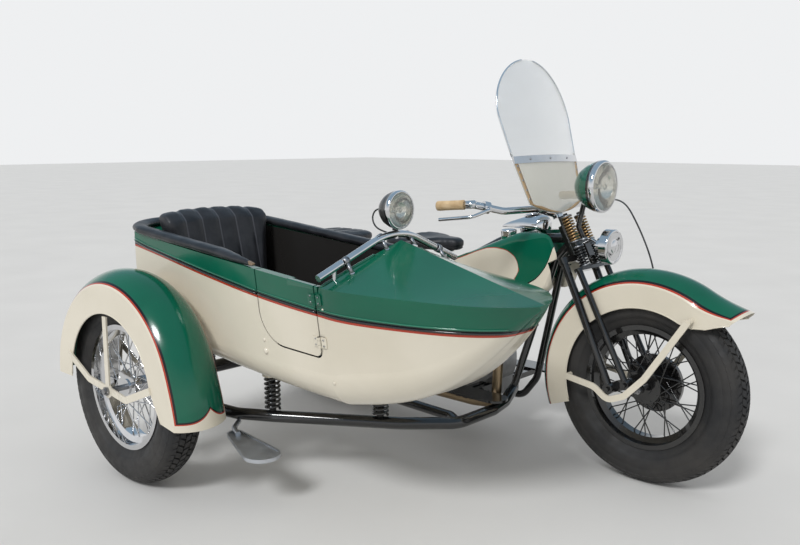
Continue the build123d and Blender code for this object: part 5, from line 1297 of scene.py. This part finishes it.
def makeGrips():
    grips, sleeves = [], []
    for side in (1, -1):
        front = at(gripSet["front"][0], side * gripSet["front"][1], gripSet["front"][2])
        end = at(gripSet["end"][0], side * gripSet["end"][1], gripSet["end"][2])
        way = (end - front).normalized()
        length = (end - front).length
        across = way.orthogonal().normalized()
        rings = [(0.030, 0.80), (0.031, 1.0), (0.060, 0.97), (0.095, 0.98), (length - 0.006, 1.02),
                 (length + 0.002, 1.03), (length + 0.004, 0.9), (length + 0.0048, 0.0)]
        steps = gripSet["ribs"] * 4
        verts = []
        for along, size in rings:
            for k in range(steps):
                a = 2 * math.pi * k / steps
                rib = 1 + 0.045 * math.cos(gripSet["ribs"] * a) * (1 if along < length - 0.004 else 0)
                way2 = rotateWay(across, way, a)
                verts.append(front + way * along + way2 * gripSet["radius"] / 1000 * size * rib)
        faces = ringFaces(len(rings), steps)
        picks = [1 if k >= 5 * steps else 0 for k in range(len(faces))]  # the flat end is darker
        grip = makeObject("grip", verts, faces, [looks["grip"], looks["tan"]], True, picks)
        cleanNormals(grip)
        grips.append(grip)
        line = [front - way * 0.012, front + way * 0.0296]
        sleeves.append(polyTube("sleeve", line, gripSet["sleeve"], looks["chrome"], 24))
    finish(joinAll("ribbed_grips", grips), "steering", ["handlebar_grips"])
    finish(joinAll("bar_sleeves", sleeves), "steering")


makeGrips()
print("grips are made")

# Beads, edge rolls and small hardware lie on the CAD skins
hullSkin = skinOf("sidecar_hull")
doorSkin = skinOf("sidecar_door")
sideways = Vector((0, 1, 0))
downward = Vector((0, 0, -1))


def hullLine(height, xs, side, skin, proud=0.0):
    points = []
    for x in xs:
        place, normal = touch(skin, at(x, hullMiddle + side * 420, height(x)), Vector((0, -side, 0)))
        if place is not None:
            points.append(place + normal * proud)
    return points


def tailLine(height, steps, skin, proud=0.0):
    points = []
    for k in range(steps + 1):
        angle = math.radians(-90 - 180 * k / steps)
        way = Vector((math.cos(angle), math.sin(angle), 0))
        start = at(118, hullMiddle, 0) + way * 0.5
        x = (start.x * 1000 + origin["x"])
        x = max(x, -72)
        start.z = height(x) / 1000
        place, normal = touch(skin, start, -way)
        if place is not None:
            points.append(place + normal * proud)
    return points


def beltAt(x):
    rows = hullPaint["belt"]
    for (x0, z0), (x1, z1) in zip(rows, rows[1:]):
        if x <= x1:
            return z0 + (z1 - z0) * (x - x0) / (x1 - x0)
    return rows[-1][1]


# the upper green bead's paler colour is a painted highlight
hullBeads = ((15.0, 0.0026, "greenBeadPaintedHighlight"), (4.5, 0.0032, "black"))  # height over the belt, radius and look
beadRuns = {  # x along the body: before the door, behind it, on the far side, and on the door
    "front": range(1532, 1019, -16), "rear": range(742, 133, -16), "far": range(118, 1527, 16),
    "door": range(1008, 751, -16),
}


def makeHullBeads():
    beads, doorBeads = [], []
    for rise, radius, look in hullBeads:
        height = lambda x: beltAt(x) + rise
        proud = radius * 0.3
        front = hullLine(height, beadRuns["front"], -1, hullSkin, proud)
        beads.append(polyTube("bead", front, radius, looks[look], 8))
        rear = hullLine(height, beadRuns["rear"], -1, hullSkin, proud)
        rear += tailLine(height, 40, hullSkin, proud)
        rear += hullLine(height, beadRuns["far"], 1, hullSkin, proud)
        beads.append(polyTube("bead", rear, radius, looks[look], 8))
        line = hullLine(height, beadRuns["door"], -1, doorSkin, proud)
        doorBeads.append(polyTube("bead", line, radius, looks[look], 8))
    finish(joinAll("hull_beads", beads), "outfit")
    finish(joinAll("door_beads", doorBeads), "door")


def makeCowlEdge():
    points = []
    for k in range(45):
        y = hullMiddle - 286 + 572 * k / 44
        x = 1060
        for step in range(4):
            place, normal = touch(hullSkin, at(x + 2, y, 1000), downward)
            if place is None:
                break
            x = 1026 + (place.z * 1000 - 740) * 66 / 160
        if place is not None:
            points.append(at(x + 3, y, place.z * 1000 + 1))
    finish(polyTube("cowl_edge_bead", points, 0.0042, looks["green"], 10), "outfit")


hardwareSet = {
    "bolts": ((756, 565, 0.006), (758, 529, 0.010), (1048, 479, 0.006), (1040, 700, 0.004)),  # x, z and radius
    "leaves": ((600, "cream"), (728, "green")), "leafHalf": 15, "leafThick": 0.003, "screws": (-9, 9),
}


def hingeLeaf(skin, rear, front, screwX, z, look):  # a thin plate on the skin with two screws
    s = hardwareSet
    verts = []
    for x, dz in ((rear, -1), (front, -1), (front, 1), (rear, 1)):
        place, normal = touch(skin, at(x, besideHull, z + dz * s["leafHalf"]), sideways)
        verts.append(place + normal * 0.0004)
    verts += [v + normal * s["leafThick"] for v in verts]
    leaf = makeObject("leaf", verts, [(4, 5, 6, 7), (0, 1, 5, 4), (1, 2, 6, 5), (2, 3, 7, 6), (3, 0, 4, 7)],
                      [looks[look]], False)
    cleanNormals(leaf)
    parts = [leaf]
    for dz in s["screws"]:
        place, normal = touch(skin, at(screwX, besideHull, z + dz), sideways)
        parts.append(domeHead(place + normal * s["leafThick"], normal, 0.0028, looks["steel"]))
    return parts


def makeHardware():
    parts = []
    for x, z, radius in hardwareSet["bolts"]:
        place, normal = touch(hullSkin, at(x, besideHull, z), sideways)
        parts.append(domeHead(place, normal, radius, looks["cream"]))
    doorParts = []
    for z, look in hardwareSet["leaves"]:
        parts += hingeLeaf(hullSkin, 1024, 1040, 1032, z, look)
        doorParts += hingeLeaf(doorSkin, 986, 1006, 996, z, look)
    finish(joinAll("hull_hinge_leaves_and_bolts", parts), "outfit")
    finish(joinAll("door_hinge_leaves", doorParts), "door")


# The straight top edge from the door to the cowl, where the CAD steps down to the cowl's foot
rimStrip = {"top": 0.6, "foot": 757, "wall": 19.4, "slope": 0.142, "proud": 0.4}


def makeRimStrip(name, body, start, end, skin):
    r = rimStrip
    verts = []
    steps = max(2, round((end - start) / 8))
    for k in range(steps + 1):
        x = start + (end - start) * k / steps
        place, normal = touch(skin, at(x, besideHull, r["foot"]), sideways)
        outer = place.y * 1000 + origin["y"] - r["proud"]
        rise = rimHeight(x) + r["top"] - r["foot"]
        lean = rise * r["slope"]
        top = r["foot"] + rise
        for y, z in ((outer, r["foot"]), (outer - lean + 1, top - 2), (outer - lean + 3, top),
                     (outer - lean + r["wall"] - 2, top), (outer - lean + r["wall"], top - 2),
                     (outer + r["wall"] + 0.8, r["foot"])):
            verts.append(at(x, y, z))
    faces = ringFaces(steps + 1, 6) + endCaps(steps + 1, 6)
    strip = makeObject(name, verts, faces, [looks["green"]])
    cleanNormals(strip)
    sharpenBy(strip, 30)
    finish(strip, body)


makeHullBeads()
makeCowlEdge()
makeHardware()
makeRimStrip("door_top_strip", "door", 898, 1009.5, doorSkin)
makeRimStrip("hull_top_strip", "outfit", 1015.6, 1025.6, hullSkin)

railSet = {"clamps": (-205, -62, 62, 205), "collar": [(0, 11), (0, 13.2), (18, 13.2), (18, 11)], "tab": 0.0058}


def makeRailClamps():
    skin = skinOf("sidecar_grab_rail")
    parts = []
    for across in railSet["clamps"]:
        place, normal = touch(skin, at(1055, hullMiddle + across, 1000), downward)
        if place is None:
            continue
        side = 1 if across > 0 else -1
        way = Vector((-0.055 * side, side, -0.41)).normalized()
        middle = place - Vector((0, 0, 0.0118))
        foot = middle - way * 0.009
        parts.append(lathe("collar", foot, way, scaled(railSet["collar"]), [looks["steel"]], 28))
        deck, up = touch(hullSkin, Vector((middle.x + 0.028, middle.y, 1.1)), downward)
        if deck is not None:
            line = [middle + Vector((0.006, 0, 0)), deck + up * 0.002]
            parts.append(polyTube("tab", line, railSet["tab"], looks["steel"], 10))
            parts.append(boltHead(deck, up, 0.0085, 0.005, looks["chrome"]))
    finish(joinAll("rail_clamps", parts), "outfit")


makeRailClamps()

edgeRolls = {
    "front": {"wheel": hubs["front"], "half": 80.0, "body": "steering",
              "rows": [(42, 396), (48, 326), (55, 290), (62, 281), (200, 281)]},
    "sidecar": {"wheel": hubs["sidecar"], "half": 95.8, "body": "outfit",
                "rows": [(-8, 318), (2, 282), (12, 264), (22, 264), (180, 264)]},
    "rear": {"wheel": hubs["rear"], "half": 82.8, "body": "outfit",
             "rows": [(20, 288), (196, 288)]},
}


def makeEdgeRoll(name, facts):
    parts = []
    rows = facts["rows"]
    for side in (1, -1):
        points = []
        angle = rows[0][0]
        while angle <= rows[-1][0]:
            for (a0, r0), (a1, r1) in zip(rows, rows[1:]):
                if angle <= a1:
                    reach = r0 + (r1 - r0) * (angle - a0) / (a1 - a0)
                    break
            a = math.radians(angle)
            x, y, z = facts["wheel"]
            points.append(at(x + reach * math.cos(a), y + side * facts["half"], z + reach * math.sin(a)))
            angle += 3
        parts.append(polyTube("roll", points, 0.0028, looks["cream"], 8))
    finish(joinAll(name + "_fender_edge_roll", parts), facts["body"])


for name, facts in edgeRolls.items():
    makeEdgeRoll(name, facts)
print("beads and hardware are made")

tankSet = {
    "cap": (955, 62, 842),
    "capProfile": [(0, 27.6), (10, 28.5), (16, 30), (22, 30), (25, 27), (27, 18), (28, 0)],
    "dialProfile": [(0, 34), (5, 34), (6, 31), (3.5, 29), (3, 0)], "dialLean": (-0.2, 0, 1),
}


def makeTankTrim():
    parts = []
    for side in (1, -1):
        x, y, z = tankSet["cap"]
        place = at(x, side * y, z - 22)
        parts.append(lathe("cap", place, straightUp, scaled(tankSet["capProfile"]), [looks["chrome"]], 44))
    lean = Vector(tankSet["dialLean"])
    parts.append(lathe("dial", at(1022, 0, 899), lean, scaled(tankSet["dialProfile"]), [looks["chrome"]], 48))
    parts.append(lathe("face", at(1022, 0, 902.6), lean, scaled([(0, 29), (0.6, 0)]), [looks["black"]], 40))
    finish(joinAll("tank_caps_and_dial", parts), "outfit")


makeTankTrim()

panelSet = {
    # share of the length from the rear, half width and height as shares of the CAD box
    "rows": [(0.0, 0.05, 0.10), (0.06, 0.20, 0.22), (0.16, 0.38, 0.38), (0.30, 0.58, 0.56), (0.45, 0.78, 0.74),
             (0.58, 0.93, 0.88), (0.70, 1.0, 0.97), (0.80, 0.99, 1.0), (0.90, 0.86, 0.96), (0.96, 0.62, 0.84),
             (1.0, 0.20, 0.62)],
    "steps": 20,
}


def makePanel():
    low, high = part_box("instrument_panel")
    middle = (low.y + high.y) / 2
    verts = []
    count = panelSet["steps"] + 1
    for share, wide, tall in panelSet["rows"]:
        x = low.x + (high.x - low.x) * share
        half = (high.y - low.y) / 2 * wide
        rise = (high.z - low.z) * tall
        for k in range(count):
            a = math.pi * k / panelSet["steps"]
            side = math.copysign(abs(math.cos(a)) ** 0.8, math.cos(a))
            verts.append(Vector((x, middle + side * half, low.z + math.sin(a) ** 0.75 * rise)))
    rows = len(panelSet["rows"])
    faces = ringFaces(rows, count) + endCaps(rows, count)
    panel = makeObject("instrument_cowl", verts, faces, [looks["chrome"]])
    cleanNormals(panel)
    applyModifier(panel, "SUBSURF", levels=1, render_levels=1)
    for polygon in panel.data.polygons:
        polygon.use_smooth = True
    sharpenBy(panel, 55)
    finish(panel, "outfit", ["instrument_panel"])


makePanel()
print("tank trim is made")
